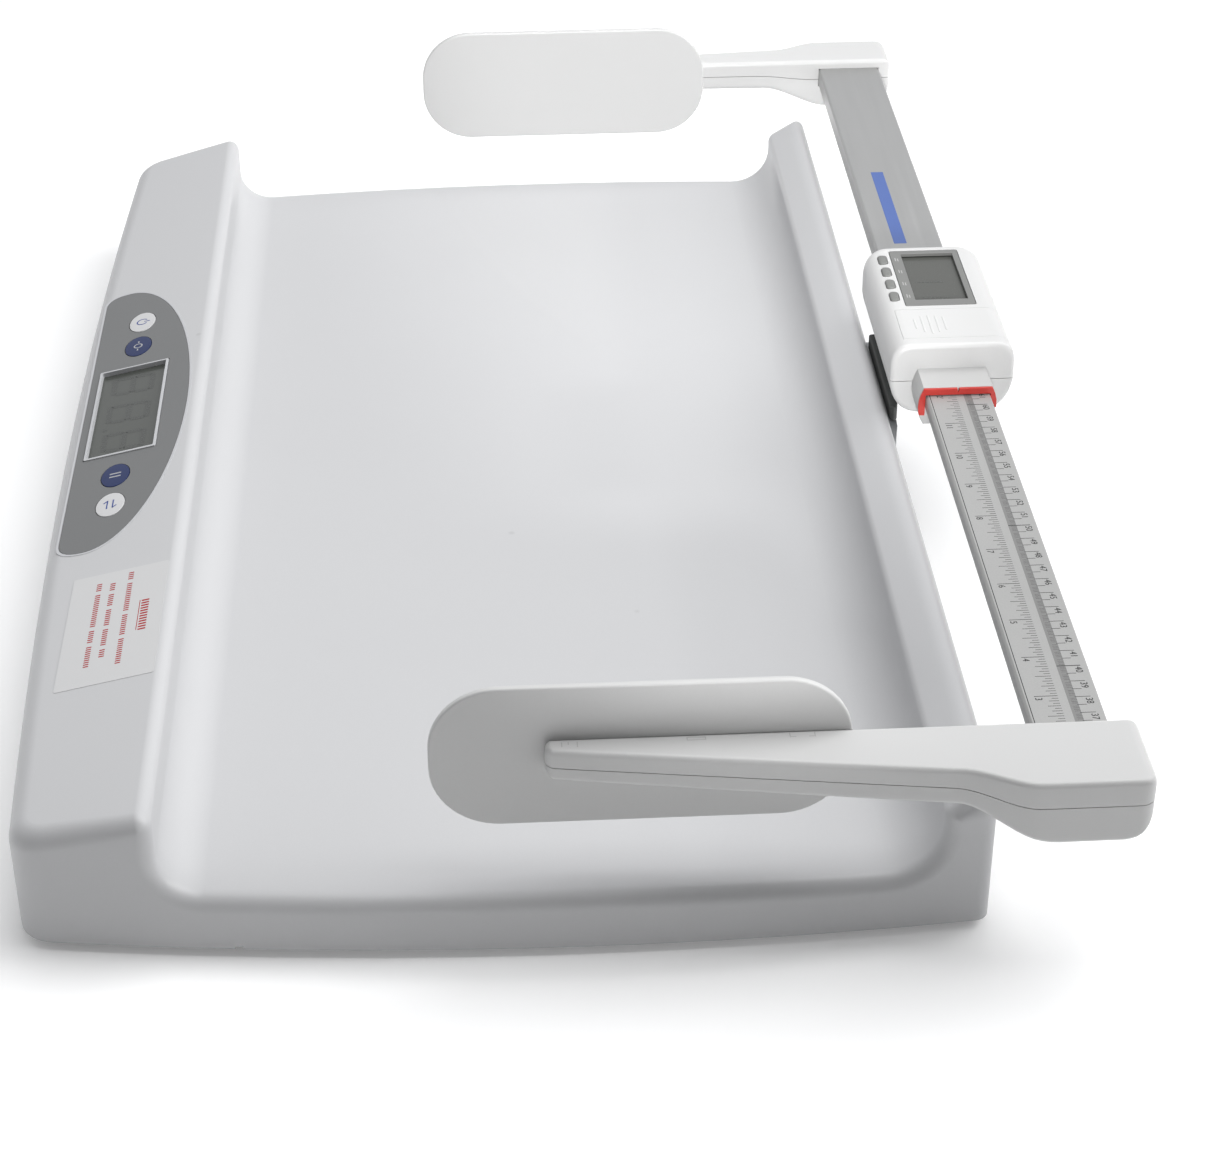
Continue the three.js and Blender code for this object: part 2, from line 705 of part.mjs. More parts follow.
// Section of the squared nose that guides the ruler; its sides bulge.
function snoutSection() {
  const { halfTop, halfBottom, bulge, bulgeZ, z0, z1 } = snout;
  const shape = new THREE.Shape();
  shape.moveTo(rod.y - halfBottom, z0);
  shape.lineTo(rod.y + halfBottom, z0);
  shape.quadraticCurveTo(rod.y + bulge, bulgeZ, rod.y + halfTop, z1);
  shape.lineTo(rod.y - halfTop, z1);
  shape.quadraticCurveTo(rod.y - bulge, bulgeZ, rod.y - halfBottom, z0 + 0.01);
  return shape;
}

function displaySkin() {
  const hollow = displayBody(display.wall);
  const nose = drawnAlongX(snoutSection(), display.x1 - 1, display.snoutX, 5);
  const railHalf = rod.railWidth / 2 + gap;
  const railHole = box(-90, rod.railEnd + gap, rod.y - railHalf, rod.y + railHalf, 76, 86.6);
  const rulerHole = box(0, 60, rod.y - 14.6, rod.y + 14.6, 77.7, 84.2);
  return cut(cut(join(displayBody(0), nose), hollow), railHole, rulerHole);
}

function displayUpper(skin) {
  const shell = common(skin, box(-90, 60, 120, 210, display.seam + gap / 2, 120));
  const ledge = box(bezel.x0 - gap, bezel.x1 + gap, bezel.y0 - gap, bezel.y1 + gap, bezel.floor, 120);
  const opening = box(-64, -14.5, 155.5, 182.5, 90, 120);
  const { halfLength, halfWidth } = buttonCap;
  const holes = buttonXs.map((x) => box(
    x - halfLength - gap,
    x + halfLength + gap,
    buttonY - halfWidth - gap,
    buttonY + halfWidth + gap,
    90,
    120,
  ));
  const bay = box(door.x0, door.x1, door.y0, 210, door.z0, 120);
  return cut(shell, ledge, opening, ...holes, bay);
}

function displayLower(skin) {
  const shell = common(skin, box(-90, 60, 120, 210, 40, display.seam - gap / 2));
  const ribs = [-55, 12].map((x) => box(x, x + 2, 150, 184, display.bottom + 1, rod.railBottom - gap));
  return join(shell, ...ribs);
}

function displayDoor() {
  const skin = cut(displayBody(0), displayBody(display.wall));
  return common(skin, box(door.x0 + gap, door.x1 - gap, door.y0 + gap, 210, door.z0 + gap, 120));
}

function displayBezel() {
  const plate = box(bezel.x0, bezel.x1, bezel.y0, bezel.y1, bezel.floor + 0.1, 99.1);
  return cut(plate, box(-62.5, -16, 157, 181.3, 90, 110));
}

function displayButton(x) {
  const { halfLength, halfWidth, corner } = buttonCap;
  const y0 = buttonY - halfWidth;
  const y1 = buttonY + halfWidth;
  const cap = raised(roundedRectangle(x - halfLength, x + halfLength, y0, y1, corner), 93, 99.6, 3);
  const flange = box(x - halfLength - 0.8, x + halfLength + 0.8, y0 - 0.6, y1 + 0.6, 92.7, 93.8);
  return join(cap, flange);
}

function coinHolder() {
  const block = box(coin.x - 11.8, coin.x + 11.8, coin.y - 13, coin.y + 13, 89.9, 94);
  return cut(block, upright(coin.x, coin.y, coin.z0 - gap, 100, coin.radius + 0.4, 28));
}

function encoderFork() {
  const plate = box(encoder.x - 3, encoder.x + 3, rod.y - 4.6, rod.y + 4.6, 89.1, 89.7);
  const ears = [-1, 1].map((side) => box(
    encoder.x - 2,
    encoder.x + 2,
    rod.y + side * 3.9 - 0.6,
    rod.y + side * 3.9 + 0.6,
    84.9,
    89.2,
  ));
  const bore = acrossY(encoder.x, encoder.z, rod.y - 8, rod.y + 8, 0.95, 12);
  return cut(join(plate, ...ears), bore);
}

function encoderWheel() {
  const tyre = acrossY(encoder.x, encoder.z, rod.y - 2.6, rod.y + 2.6, encoder.radius, 28);
  return join(tyre, acrossY(encoder.x, encoder.z, rod.y - 4.4, rod.y + 4.4, 0.6, 12));
}

function indexPointer() {
  const whole = drawnAlongX(snoutSection(), display.snoutX + gap, display.snoutX + 1.5, 6);
  const plate = cut(whole, box(40, 60, 140, rod.y, 60, 74.3), box(40, 60, rod.y - 1, 195, 60, 77.3));
  const mouth = box(40, 60, rod.y - 14.4, rod.y + 14.4, 60, 84.3);
  const notch = new THREE.Shape();
  notch.moveTo(rod.y - 0.8, snout.z1 + 1);
  notch.lineTo(rod.y, snout.z1 - 2);
  notch.lineTo(rod.y + 0.8, snout.z1 + 1);
  return cut(plate, mouth, drawnAlongX(notch, 40, 60));
}

// ---------------------------------------------------------------- bracket
function bracketScrewHoles() {
  return bracketScrews.xs.map((x) => acrossY(x, bracketScrews.z, 130, 150, bracketScrews.shank + gap, 14));
}

function rodBracket() {
  const { x0, x1, thickness, z0, z1, shelfX0, shelfX1, shelfY } = bracket;
  const wallPlate = box(x0, x1, tray.backY + gap, tray.backY + gap + thickness, z0, z1);
  const shelf = box(shelfX0, shelfX1, tray.backY + gap, shelfY, z1 - thickness, z1);
  return cut(join(wallPlate, shelf, raised(polygon(cheek), 46, z1)), ...bracketScrewHoles());
}

function bracketPad() {
  return raised(polygon(padPlan), pad.z0, pad.z1);
}

function bracketScrew(x) {
  const { z, shank, head: headRadius, headHeight, tipY } = bracketScrews;
  const headStart = tray.backY + gap + bracket.thickness + gap;
  const stem = acrossY(x, z, tipY, headStart + 1, shank, 14);
  return join(stem, acrossY(x, z, headStart, headStart + headHeight, headRadius, 20));
}

// ---------------------------------------------------------------- everything in its place
place('tray_shell', trayShell(), 'trayWhite');

place('keypad_overlay', keypadOverlay(), 'keypadGrey', consoleFace);
place('lcd_frame', lcdFrame(), 'frameWhite', consoleFace);
place('main_lcd', windowBox(mainLcd.inset, mainLcd.bottom, mainLcd.top), 'lcd', consoleFace);
place('main_board', mainBoardPlate(), 'board', consoleFace);
for (const [name, u] of Object.entries(keyPlaces)) {
  const white = name === 'key_power' || name === 'key_units';
  place(name, key(u), white ? 'keyWhite' : 'keyBlue', consoleFace);
}
place('dc_inlet', dcInlet(), 'darkPlastic');
place('battery_box', batteryBox(), 'darkPlastic');
aaPlaces.forEach(([x, y, z], i) => place(`battery_cell_${i + 1}`, batteryCell(x, y, z), 'cell'));
place('battery_door', batteryDoor(), 'darkPlastic');

place('base_pan', basePan(), 'steel');
footPlaces.forEach(([x, y], i) => place(`levelling_foot_${i + 1}`, levellingFoot(x, y), 'rubber'));
postPlaces.forEach(([x, y], i) => place(`stop_post_${i + 1}`, stopPost(x, y), 'steel'));
place('load_cell', loadCell(), 'aluminium');
place('load_cell_foot', loadCellFoot(), 'steel');
place('load_cell_cap', loadCellCap(), 'steel');
place('load_spider', loadSpider(), 'steel');

place('outer_rail', outerRail(), 'aluminium');
place('ruler', ruler(), 'aluminium');
place('ruler_glide', rulerGlide(), 'darkPlastic');

const headShells = headArm();
place('head_arm_upper', headShells.upper, 'rodWhite');
place('head_arm_lower', headShells.lower, 'rodWhite');
place('head_paddle', paddlePlate(head.plateX), 'rodWhite');
const footShells = footArm();
place('foot_arm_upper', footShells.upper, 'rodWhite');
place('foot_arm_lower', footShells.lower, 'rodWhite');
place('foot_paddle', paddlePlate(foot.plateX), 'rodWhite');

const skin = displaySkin();
place('display_upper', displayUpper(skin), 'rodWhite');
place('display_lower', displayLower(skin), 'rodWhite');
place('display_bezel', displayBezel(), 'bezelGrey');
place('display_lcd', box(-63.6, -15, 155.9, 182.1, 94.3, 97.4), 'lcd');
place('display_board', box(-66.5, -10, 144, 191.4, 90, 91.6), 'board');
place('display_battery_door', displayDoor(), 'rodWhite');
place('coin_holder', coinHolder(), 'darkPlastic');
place('coin_cell', upright(coin.x, coin.y, coin.z0, coin.z1, coin.radius, 28), 'steel');
buttonXs.forEach((x, i) => place(`display_button_${i + 1}`, displayButton(x), 'buttonGrey'));
place('encoder_fork', encoderFork(), 'darkPlastic');
place('encoder_wheel', encoderWheel(), 'rubber');
place('index_pointer', indexPointer(), 'red');

place('rod_bracket', rodBracket(), 'steel');
place('bracket_pad', bracketPad(), 'rubber');
bracketScrews.xs.forEach((x, i) => place(`bracket_screw_${i + 1}`, bracketScrew(x), 'steel'));

// The origin is the middle of the footprint, on the table.
assembly.updateMatrixWorld(true);
const extent = new THREE.Box3().setFromObject(assembly);
assembly.position.set(
  -(extent.min.x + extent.max.x) / 2,
  -(extent.min.y + extent.max.y) / 2,
  -extent.min.z,
);
assembly.updateMatrixWorld(true);

export default assembly;
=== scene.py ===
"""Infant tray scale with an electronic length rod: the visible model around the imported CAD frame.

Sizes are millimetres in the tray's own frame: X = 0 is the middle of the tray, Z = 0 the table. row() moves a
point into the row frame in metres.
"""

import math

import bmesh
import bpy
from mathutils import Matrix, Vector


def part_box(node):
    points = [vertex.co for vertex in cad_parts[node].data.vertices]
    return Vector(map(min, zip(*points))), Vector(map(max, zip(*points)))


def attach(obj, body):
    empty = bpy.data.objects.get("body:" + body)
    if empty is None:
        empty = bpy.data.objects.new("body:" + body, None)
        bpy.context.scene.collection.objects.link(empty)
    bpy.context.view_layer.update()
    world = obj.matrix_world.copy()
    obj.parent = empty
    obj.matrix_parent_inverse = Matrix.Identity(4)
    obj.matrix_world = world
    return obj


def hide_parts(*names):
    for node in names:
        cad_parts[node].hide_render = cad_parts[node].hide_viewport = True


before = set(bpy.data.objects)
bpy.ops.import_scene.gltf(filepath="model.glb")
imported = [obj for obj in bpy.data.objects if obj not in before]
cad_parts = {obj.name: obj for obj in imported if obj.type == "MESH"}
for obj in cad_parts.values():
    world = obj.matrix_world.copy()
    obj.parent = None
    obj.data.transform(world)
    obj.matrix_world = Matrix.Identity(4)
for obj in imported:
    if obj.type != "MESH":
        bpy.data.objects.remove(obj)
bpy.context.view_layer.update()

# ---------------------------------------------------------------- driving values
MM = 0.001
BACK_Y = 141.3
shell_low, shell_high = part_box("tray_shell")
SHIFT_X = (shell_low.x + shell_high.x) / 2 / MM
SHIFT_Y = shell_high.y / MM - BACK_Y

END_X, END_SAG = 311.9, 10.8 / 180**2
FRONT_Y, FRONT_SAG = -230.5, 9 / 300**2
SKIRT_Z = 4
WALL = 3
RIDGE_Y, RIDGE_Z, CONSOLE_SLOPE = -168, 62.6, 0.22
BED_Z = 27
BACK_INNER_Y = 122
LIP_Y, LIP_Z, LIP_SLOPE = 134, 63.4, 9.4 / 12
RIDGE_R, LEFT_R, RIGHT_R, CREASE_R = 5, 17, 20, 5
FRONT_CORNER, BACK_CORNER = 15, 6
FRONT_ROLL, END_ROLL, BACK_ROLL = 7.5, 6.5, 10

CONSOLE_X, CONSOLE_Y = -15.2, -200
CONSOLE_ANGLE = math.atan(CONSOLE_SLOPE)
KEY_U = {"key_power": -84.9, "key_zero": -60.3, "key_hold": 59.5, "key_units": 84.2}
KEY_V = -4
KEY_HALF = (9.5, 6.45)
WINDOW_HALF = (41, 17)
KEY_GAP = 0.3
LABEL_X, LABEL_HALF, LABEL_DROP = (125, 206), 20.5, 6.4
BRACKET_SCREW_X, BRACKET_SCREW_Z = (-45, -19), 40

ROD_Y = 167.2
RULER_TOP = 83.9
CM_60_X = 55.07

SEAM_GAP = 0.16


def row(point):
    x, y, z = point
    return Vector(((x + SHIFT_X) * MM, (y + SHIFT_Y) * MM, z * MM))


def console(u, v, w):
    """A point given on the console's sloping face: u along the tray, v up the slope, w out of the face."""
    c, s = math.cos(CONSOLE_ANGLE), math.sin(CONSOLE_ANGLE)
    top = RIDGE_Z + CONSOLE_SLOPE * (CONSOLE_Y - RIDGE_Y + 2)
    return (CONSOLE_X + u, CONSOLE_Y + v * c - w * s, top + v * s + w * c)


# ---------------------------------------------------------------- materials
def node_of(tree, kind, **values):
    node = tree.nodes.new(kind)
    for name, value in values.items():
        if name in node.inputs:
            node.inputs[name].default_value = value
        else:
            setattr(node, name, value)
    return node


def surface(name, color, rough, metal=0.0, cloud=0.03, cloud_scale=14, grain=1100, bump=0.25, stretch=(1, 1, 1),
            specks=0.0, wear=0.0, coat=0.0, spec=0.5, rough_swing=0.06, glow=0.0):
    """A procedural finish: soft colour clouds, fine grain in bump and roughness, rare specks, worn edges."""
    material = bpy.data.materials.new(name)
    material.use_nodes = True
    tree = material.node_tree
    link = tree.links.new
    shader = tree.nodes["Principled BSDF"]
    shader.inputs["Metallic"].default_value = metal
    shader.inputs["Coat Weight"].default_value = coat
    shader.inputs["Coat Roughness"].default_value = 0.12
    shader.inputs["Specular IOR Level"].default_value = spec
    shader.inputs["Emission Strength"].default_value = glow
    place = node_of(tree, "ShaderNodeTexCoord")
    turn = node_of(tree, "ShaderNodeMapping")
    turn.inputs["Scale"].default_value = stretch
    link(place.outputs["Object"], turn.inputs["Vector"])

    clouds = node_of(tree, "ShaderNodeTexNoise", Scale=cloud_scale, Detail=4.0, Roughness=0.55)
    link(place.outputs["Object"], clouds.inputs["Vector"])
    fine = node_of(tree, "ShaderNodeTexNoise", Scale=grain, Detail=3.0, Roughness=0.6)
    link(turn.outputs["Vector"], fine.inputs["Vector"])

    tone = node_of(tree, "ShaderNodeMixRGB")
    tone.inputs["Color1"].default_value = (*[c * (1 - cloud) for c in color], 1)
    tone.inputs["Color2"].default_value = (*[min(1, c * (1 + cloud)) for c in color], 1)
    link(clouds.outputs["Fac"], tone.inputs["Fac"])
    grainy = node_of(tree, "ShaderNodeMixRGB", blend_type="OVERLAY")
    grainy.inputs["Fac"].default_value = min(1, cloud * 2.5)
    link(tone.outputs["Color"], grainy.inputs["Color1"])
    link(fine.outputs["Fac"], grainy.inputs["Color2"])
    last = grainy
    if specks:
        dust = node_of(tree, "ShaderNodeTexVoronoi", Scale=specks)
        link(place.outputs["Object"], dust.inputs["Vector"])
        dot = node_of(tree, "ShaderNodeMapRange")
        dot.inputs["From Min"].default_value = 0.012
        dot.inputs["From Max"].default_value = 0.03
        dot.inputs["To Min"].default_value = 0.22
        dot.inputs["To Max"].default_value = 0.0
        link(dust.outputs["Distance"], dot.inputs["Value"])
        spot = node_of(tree, "ShaderNodeMixRGB")
        spot.inputs["Color2"].default_value = (*[c * 0.45 for c in color], 1)
        link(dot.outputs["Result"], spot.inputs["Fac"])
        link(last.outputs["Color"], spot.inputs["Color1"])
        last = spot
    if wear:
        edge = node_of(tree, "ShaderNodeBevel", samples=4)
        edge.inputs["Radius"].default_value = 0.0007
        shape = node_of(tree, "ShaderNodeNewGeometry")
        align = node_of(tree, "ShaderNodeVectorMath", operation="DOT_PRODUCT")
        link(edge.outputs["Normal"], align.inputs[0])
        link(shape.outputs["Normal"], align.inputs[1])
        mask = node_of(tree, "ShaderNodeMapRange")
        mask.inputs["From Min"].default_value = 0.99
        mask.inputs["From Max"].default_value = 0.88
        link(align.outputs["Value"], mask.inputs["Value"])
        patchy = node_of(tree, "ShaderNodeMath", operation="MULTIPLY")
        link(mask.outputs["Result"], patchy.inputs[0])
        link(fine.outputs["Fac"], patchy.inputs[1])
        rub = node_of(tree, "ShaderNodeMixRGB")
        rub.inputs["Color2"].default_value = (*[min(1, c * (1 + wear)) for c in color], 1)
        link(patchy.outputs["Value"], rub.inputs["Fac"])
        link(last.outputs["Color"], rub.inputs["Color1"])
        last = rub
    link(last.outputs["Color"], shader.inputs["Base Color"])

    gloss = node_of(tree, "ShaderNodeMapRange")
    gloss.inputs["To Min"].default_value = rough - rough_swing
    gloss.inputs["To Max"].default_value = rough + rough_swing
    link(fine.outputs["Fac"], gloss.inputs["Value"])
    link(gloss.outputs["Result"], shader.inputs["Roughness"])
    relief = node_of(tree, "ShaderNodeBump")
    relief.inputs["Strength"].default_value = bump
    relief.inputs["Distance"].default_value = 0.00005
    link(fine.outputs["Fac"], relief.inputs["Height"])
    link(relief.outputs["Normal"], shader.inputs["Normal"])
    return material


TRAY = surface("tray_plastic", (0.495, 0.497, 0.505), 0.40, cloud=0.012, grain=1500, bump=0.12, specks=17)
WHITE = surface("rod_plastic", (0.525, 0.525, 0.522), 0.38, cloud=0.012, grain=1800, bump=0.10, wear=0.10)
NOSE = surface("nose_plastic", (0.43, 0.43, 0.427), 0.40, cloud=0.015, grain=1800, bump=0.10, wear=0.10)
FILM = surface("keypad_film", (0.140, 0.143, 0.144), 0.42, cloud=0.04, grain=2600, bump=0.35)
KEY_WHITE = surface("key_white_film", (0.55, 0.55, 0.555), 0.38, cloud=0.02, grain=2600, bump=0.2)
KEY_BLUE = surface("key_blue_film", (0.008, 0.020, 0.090), 0.38, cloud=0.05, grain=2600, bump=0.2, spec=0.25)
INK_WHITE = surface("ink_white", (0.36, 0.365, 0.38), 0.5, cloud=0.03, grain=3000)
INK_BLUE = surface("ink_blue", (0.04, 0.07, 0.25), 0.5, cloud=0.05, grain=3000)
INK_DARK = surface("ink_dark", (0.022, 0.022, 0.022), 0.6, cloud=0.15, grain=3000, spec=0.15)
INK_RED = surface("ink_red", (0.36, 0.022, 0.022), 0.6, cloud=0.08, grain=3000, spec=0.15)
INK_GREY = surface("ink_grey", (0.40, 0.40, 0.395), 0.5, cloud=0.05, grain=3000)
LABEL = surface("label_paper", (0.550, 0.550, 0.552), 0.5, cloud=0.02, grain=2200, bump=0.2)
FRAME = surface("window_frame", (0.48, 0.485, 0.50), 0.4, cloud=0.02, grain=1800)
GLASS = surface("readout", (0.062, 0.067, 0.060), 0.25, cloud=0.08, cloud_scale=30, grain=2000, bump=0.03, coat=0.1,
                spec=0.35)
GHOST = surface("readout_segments", (0.044, 0.048, 0.043), 0.27, cloud=0.05, grain=2000, bump=0.05)
SMALL_GLASS = surface("small_readout", (0.060, 0.062, 0.056), 0.25, cloud=0.06, cloud_scale=40, grain=2000,
                      bump=0.03, coat=0.1, spec=0.35)
ALUMINIUM = surface("brushed_aluminium", (0.40, 0.40, 0.397), 0.42, metal=0.85, cloud=0.03, grain=420, bump=0.12,
                    stretch=(0.03, 1, 1), wear=0.25, rough_swing=0.08)
RULER = surface("matt_aluminium", (0.345, 0.345, 0.340), 0.48, metal=0.30, cloud=0.05, grain=1500, bump=0.35,
                wear=0.2, rough_swing=0.1)
BAND = surface("ruler_band_film", (0.20, 0.20, 0.197), 0.5, metal=0.3, cloud=0.06, grain=1500, bump=0.3)
BEZEL = surface("bezel_grey_film", (0.150, 0.152, 0.146), 0.34, cloud=0.04, grain=2200, bump=0.15)
BUTTON = surface("button_rubber", (0.165, 0.168, 0.162), 0.6, cloud=0.05, grain=2200, bump=0.5, spec=0.3)
RED = surface("index_red_plastic", (0.46, 0.030, 0.022), 0.4, cloud=0.06, grain=1600, bump=0.2, wear=0.3)
BLUE_BAR = surface("rail_blue_ink", (0.045, 0.095, 0.30), 0.42, cloud=0.05, grain=2600, bump=0.2)
RUBBER = surface("black_rubber", (0.035, 0.036, 0.036), 0.7, cloud=0.15, grain=900, bump=0.8, spec=0.3, wear=0.6)
PAD = surface("pad_rubber", (0.055, 0.057, 0.056), 0.65, cloud=0.15, grain=1200, bump=0.6, spec=0.3, wear=0.3)
STEEL = surface("painted_steel", (0.36, 0.37, 0.38), 0.42, metal=0.6, cloud=0.05, grain=900, bump=0.4, wear=0.4)
BOARD = surface("solder_mask", (0.02, 0.12, 0.05), 0.45, cloud=0.2, grain=700, bump=0.4)
CELL = surface("cell_sleeve", (0.35, 0.22, 0.05), 0.35, metal=0.4, cloud=0.08, grain=800, bump=0.2, wear=0.3)
DARK = surface("dark_plastic", (0.045, 0.046, 0.05), 0.5, cloud=0.1, grain=1300, bump=0.5, wear=0.5)
FLOOR = surface("studio_floor", (0.93, 0.93, 0.93), 0.7, cloud=0.01, cloud_scale=3, grain=120, bump=0.05, spec=0.2,
                glow=0.16)


# ---------------------------------------------------------------- mesh tools
def finish_mesh(obj, material, angle=32):
    """Gives a mesh its material and smooth faces with sharp edges above the angle."""
    mesh = obj.data
    mesh.materials.clear()
    mesh.materials.append(material)
    mesh.shade_smooth()
    mesh.set_sharp_from_angle(angle=math.radians(angle))
    normals = obj.modifiers.new("normals", "WEIGHTED_NORMAL")
    normals.keep_sharp = True


def solid(name, verts, faces):
    """A closed mesh from tray-frame points, doubles merged and faces turned outwards."""
    mesh = bpy.data.meshes.new(name)
    mesh.from_pydata([row(v) for v in verts], [], faces)
    work = bmesh.new()
    work.from_mesh(mesh)
    bmesh.ops.remove_doubles(work, verts=work.verts, dist=2e-6)
    bmesh.ops.dissolve_degenerate(work, edges=work.edges, dist=1e-6)
    bmesh.ops.recalc_face_normals(work, faces=work.faces)
    work.to_mesh(mesh)
    work.free()
    obj = bpy.data.objects.new(name, mesh)
    bpy.context.scene.collection.objects.link(obj)
    return obj


def loft(name, rings):
    """Skins closed rings of equal length and caps both ends."""
    n = len(rings[0])
    verts = [p for ring in rings for p in ring]
    faces = []
    for k in range(len(rings) - 1):
        for i in range(n):
            j = (i + 1) % n
            faces.append((k * n + i, k * n + j, (k + 1) * n + j, (k + 1) * n + i))
    faces.append(tuple(range(n)))
    faces.append(tuple(range((len(rings) - 1) * n, len(rings) * n)))
    return solid(name, verts, faces)


def freeze(obj):
    """Bakes the object's modifiers into its mesh."""
    graph = bpy.context.evaluated_depsgraph_get()
    baked = bpy.data.meshes.new_from_object(obj.evaluated_get(graph))
    baked.name = obj.name
    obj.modifiers.clear()
    obj.data = baked


def carve(obj, tools, operation="DIFFERENCE"):
    """Cuts, joins or intersects with the tools, which are used up."""
    for tool in tools:
        cut = obj.modifiers.new("cut", "BOOLEAN")
        cut.object = tool
        cut.operation = operation
        cut.solver = "EXACT"
    freeze(obj)
    for tool in tools:
        bpy.data.objects.remove(tool)
    return obj


def rounded(x0, x1, y0, y1, radius, steps=6):
    """Outline maker: a rounded rectangle that can shrink by an inset."""

    def outline(inset):
        r = max(radius - inset, 0.01)
        ring = []
        corners = [(x1, y0, -90), (x1, y1, 0), (x0, y1, 90), (x0, y0, 180)]
        for cx, cy, start in corners:
            cx += -(r + inset) if cx == x1 else r + inset
            cy += -(r + inset) if cy == y1 else r + inset
            for k in range(steps + 1):
                t = math.radians(start + 90 * k / steps)
                ring.append((cx + r * math.cos(t), cy + r * math.sin(t)))
        return ring

    return outline


def disc(cx, cy, radius, steps=40):
    def outline(inset):
        r = radius - inset
        return [(cx + r * math.cos(2 * math.pi * k / steps), cy + r * math.sin(2 * math.pi * k / steps))
                for k in range(steps)]

    return outline


def flat(u, v, w):
    return (u, v, w)


def across(u, v, w):
    """u along Y, v along Z, w along X."""
    return (w, u, v)


def pillow(name, outline, low, high, edge_low, edge_high, place=flat, steps=4, dome=0.0):
    """An outline raised from low to high with rounded edges, and a slight dome on top if asked."""
    rings = []
    for k in range(steps + 1):
        t = math.pi / 2 * k / steps
        ring = outline(edge_low * (1 - math.sin(t)))
        rings.append([place(u, v, low + edge_low * (1 - math.cos(t))) for u, v in ring])
    for k in range(steps + 1):
        t = math.pi / 2 * k / steps
        ring = outline(edge_high * (1 - math.cos(t)))
        rings.append([place(u, v, high - edge_high * (1 - math.sin(t))) for u, v in ring])
    if dome:
        last = outline(edge_high)
        cu = sum(p[0] for p in last) / len(last)
        cv = sum(p[1] for p in last) / len(last)
        for k in range(1, 5):
            s = 1 - k / 5
            rings.append([place(cu + (u - cu) * s, cv + (v - cv) * s, high + dome * (1 - s * s)) for u, v in last])
    return loft(name, rings)


def block(x0, x1, y0, y1, z0, z1, place=flat):
    return pillow("tool", rounded(x0, x1, y0, y1, 0.02, 1), z0, z1, 0, 0, place, 1)


def piece(obj, material, body, nodes=(), angle=32):
    finish_mesh(obj, material, angle)
    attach(obj, body)
    if nodes:
        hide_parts(*nodes)
    return obj


def dress(node, material, bevel=0.35, segments=2):
    """A CAD node kept as it is, with softened edges and a real finish."""
    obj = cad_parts[node]
    obj.data.materials.clear()
    obj.data.materials.append(material)
    weld = obj.modifiers.new("weld", "WELD")
    weld.merge_threshold = 1e-5
    if bevel:
        soft = obj.modifiers.new("bevel", "BEVEL")
        soft.width = bevel * MM
        soft.segments = segments
        soft.limit_method = "ANGLE"
        soft.angle_limit = math.radians(35)
    obj.data.shade_smooth()
    obj.data.set_sharp_from_angle(angle=math.radians(35))
    normals = obj.modifiers.new("normals", "WEIGHTED_NORMAL")
    normals.keep_sharp = True


# ---------------------------------------------------------------- tray shell
def end_x(y):
    return END_X - END_SAG * y * y


def front_y(x):
    return FRONT_Y + FRONT_SAG * x * x


def slope_z(y, a):
    return RIDGE_Z + CONSOLE_SLOPE * (y - RIDGE_Y + 2) - a * math.hypot(1, CONSOLE_SLOPE)


def lip_z(y, a):
    return LIP_Z + (y - LIP_Y) * LIP_SLOPE - a * math.hypot(1, LIP_SLOPE)


def section(a):
    """The tray's inner skyline in Y and Z at depth a under the skin, always with the same number of points."""
    slope = Vector((1, CONSOLE_SLOPE)).normalized()
    lip = Vector((1, LIP_SLOPE)).normalized()
    lines = [
        (Vector((RIDGE_Y, slope_z(RIDGE_Y, a))), slope),
        (Vector((RIDGE_Y - a, 0)), Vector((0, -1))),
        (Vector((0, BED_Z - a)), Vector((1, 0))),
        (Vector((BACK_INNER_Y + a, 0)), Vector((0, 1))),
        (Vector((LIP_Y, lip_z(LIP_Y, a))), lip),
    ]
    radii = [max(RIDGE_R - a, 0), LEFT_R + a, RIGHT_R + a, max(CREASE_R - a, 0)]
    counts = [9, 10, 10, 6]
    spans = [2, 8, 2]
    points = []
    for k, radius in enumerate(radii):
        (p1, d1), (p2, d2) = lines[k], lines[k + 1]
        turn = d1.x * d2.y - d1.y * d2.x
        gap = p2 - p1
        corner = p1 + d1 * ((gap.x * d2.y - gap.y * d2.x) / turn)
        phi = math.acos(max(-1, min(1, d1.dot(d2))))
        start = corner - d1 * radius * math.tan(phi / 2)
        side = Vector((-d1.y, d1.x)) * (1 if turn > 0 else -1)
        arc = []
        for i in range(counts[k] + 1):
            t = phi * i / counts[k]
            arc.append(start + d1 * radius * math.sin(t) + side * radius * (1 - math.cos(t)))
        if points:
            steps = spans[k - 1]
            before = points[-1]
            points += [before.lerp(arc[0], i / steps) for i in range(1, steps)]
        points += arc
    return [(p.x, p.y) for p in points]


def front_corner_centre():
    r = FRONT_CORNER
    cx, cy = END_X - 25, FRONT_Y + 25
    xt, yt = cx, cy
    for _ in range(8):
        nf = Vector((2 * FRONT_SAG * xt, -1)).normalized()
        ne = Vector((1, 2 * END_SAG * yt)).normalized()
        xt, yt = cx + r * nf.x, cy + r * ne.y
        cx, cy = end_x(yt) - r * ne.x, front_y(xt) - r * nf.y
    return cx, cy, nf, ne, xt, yt


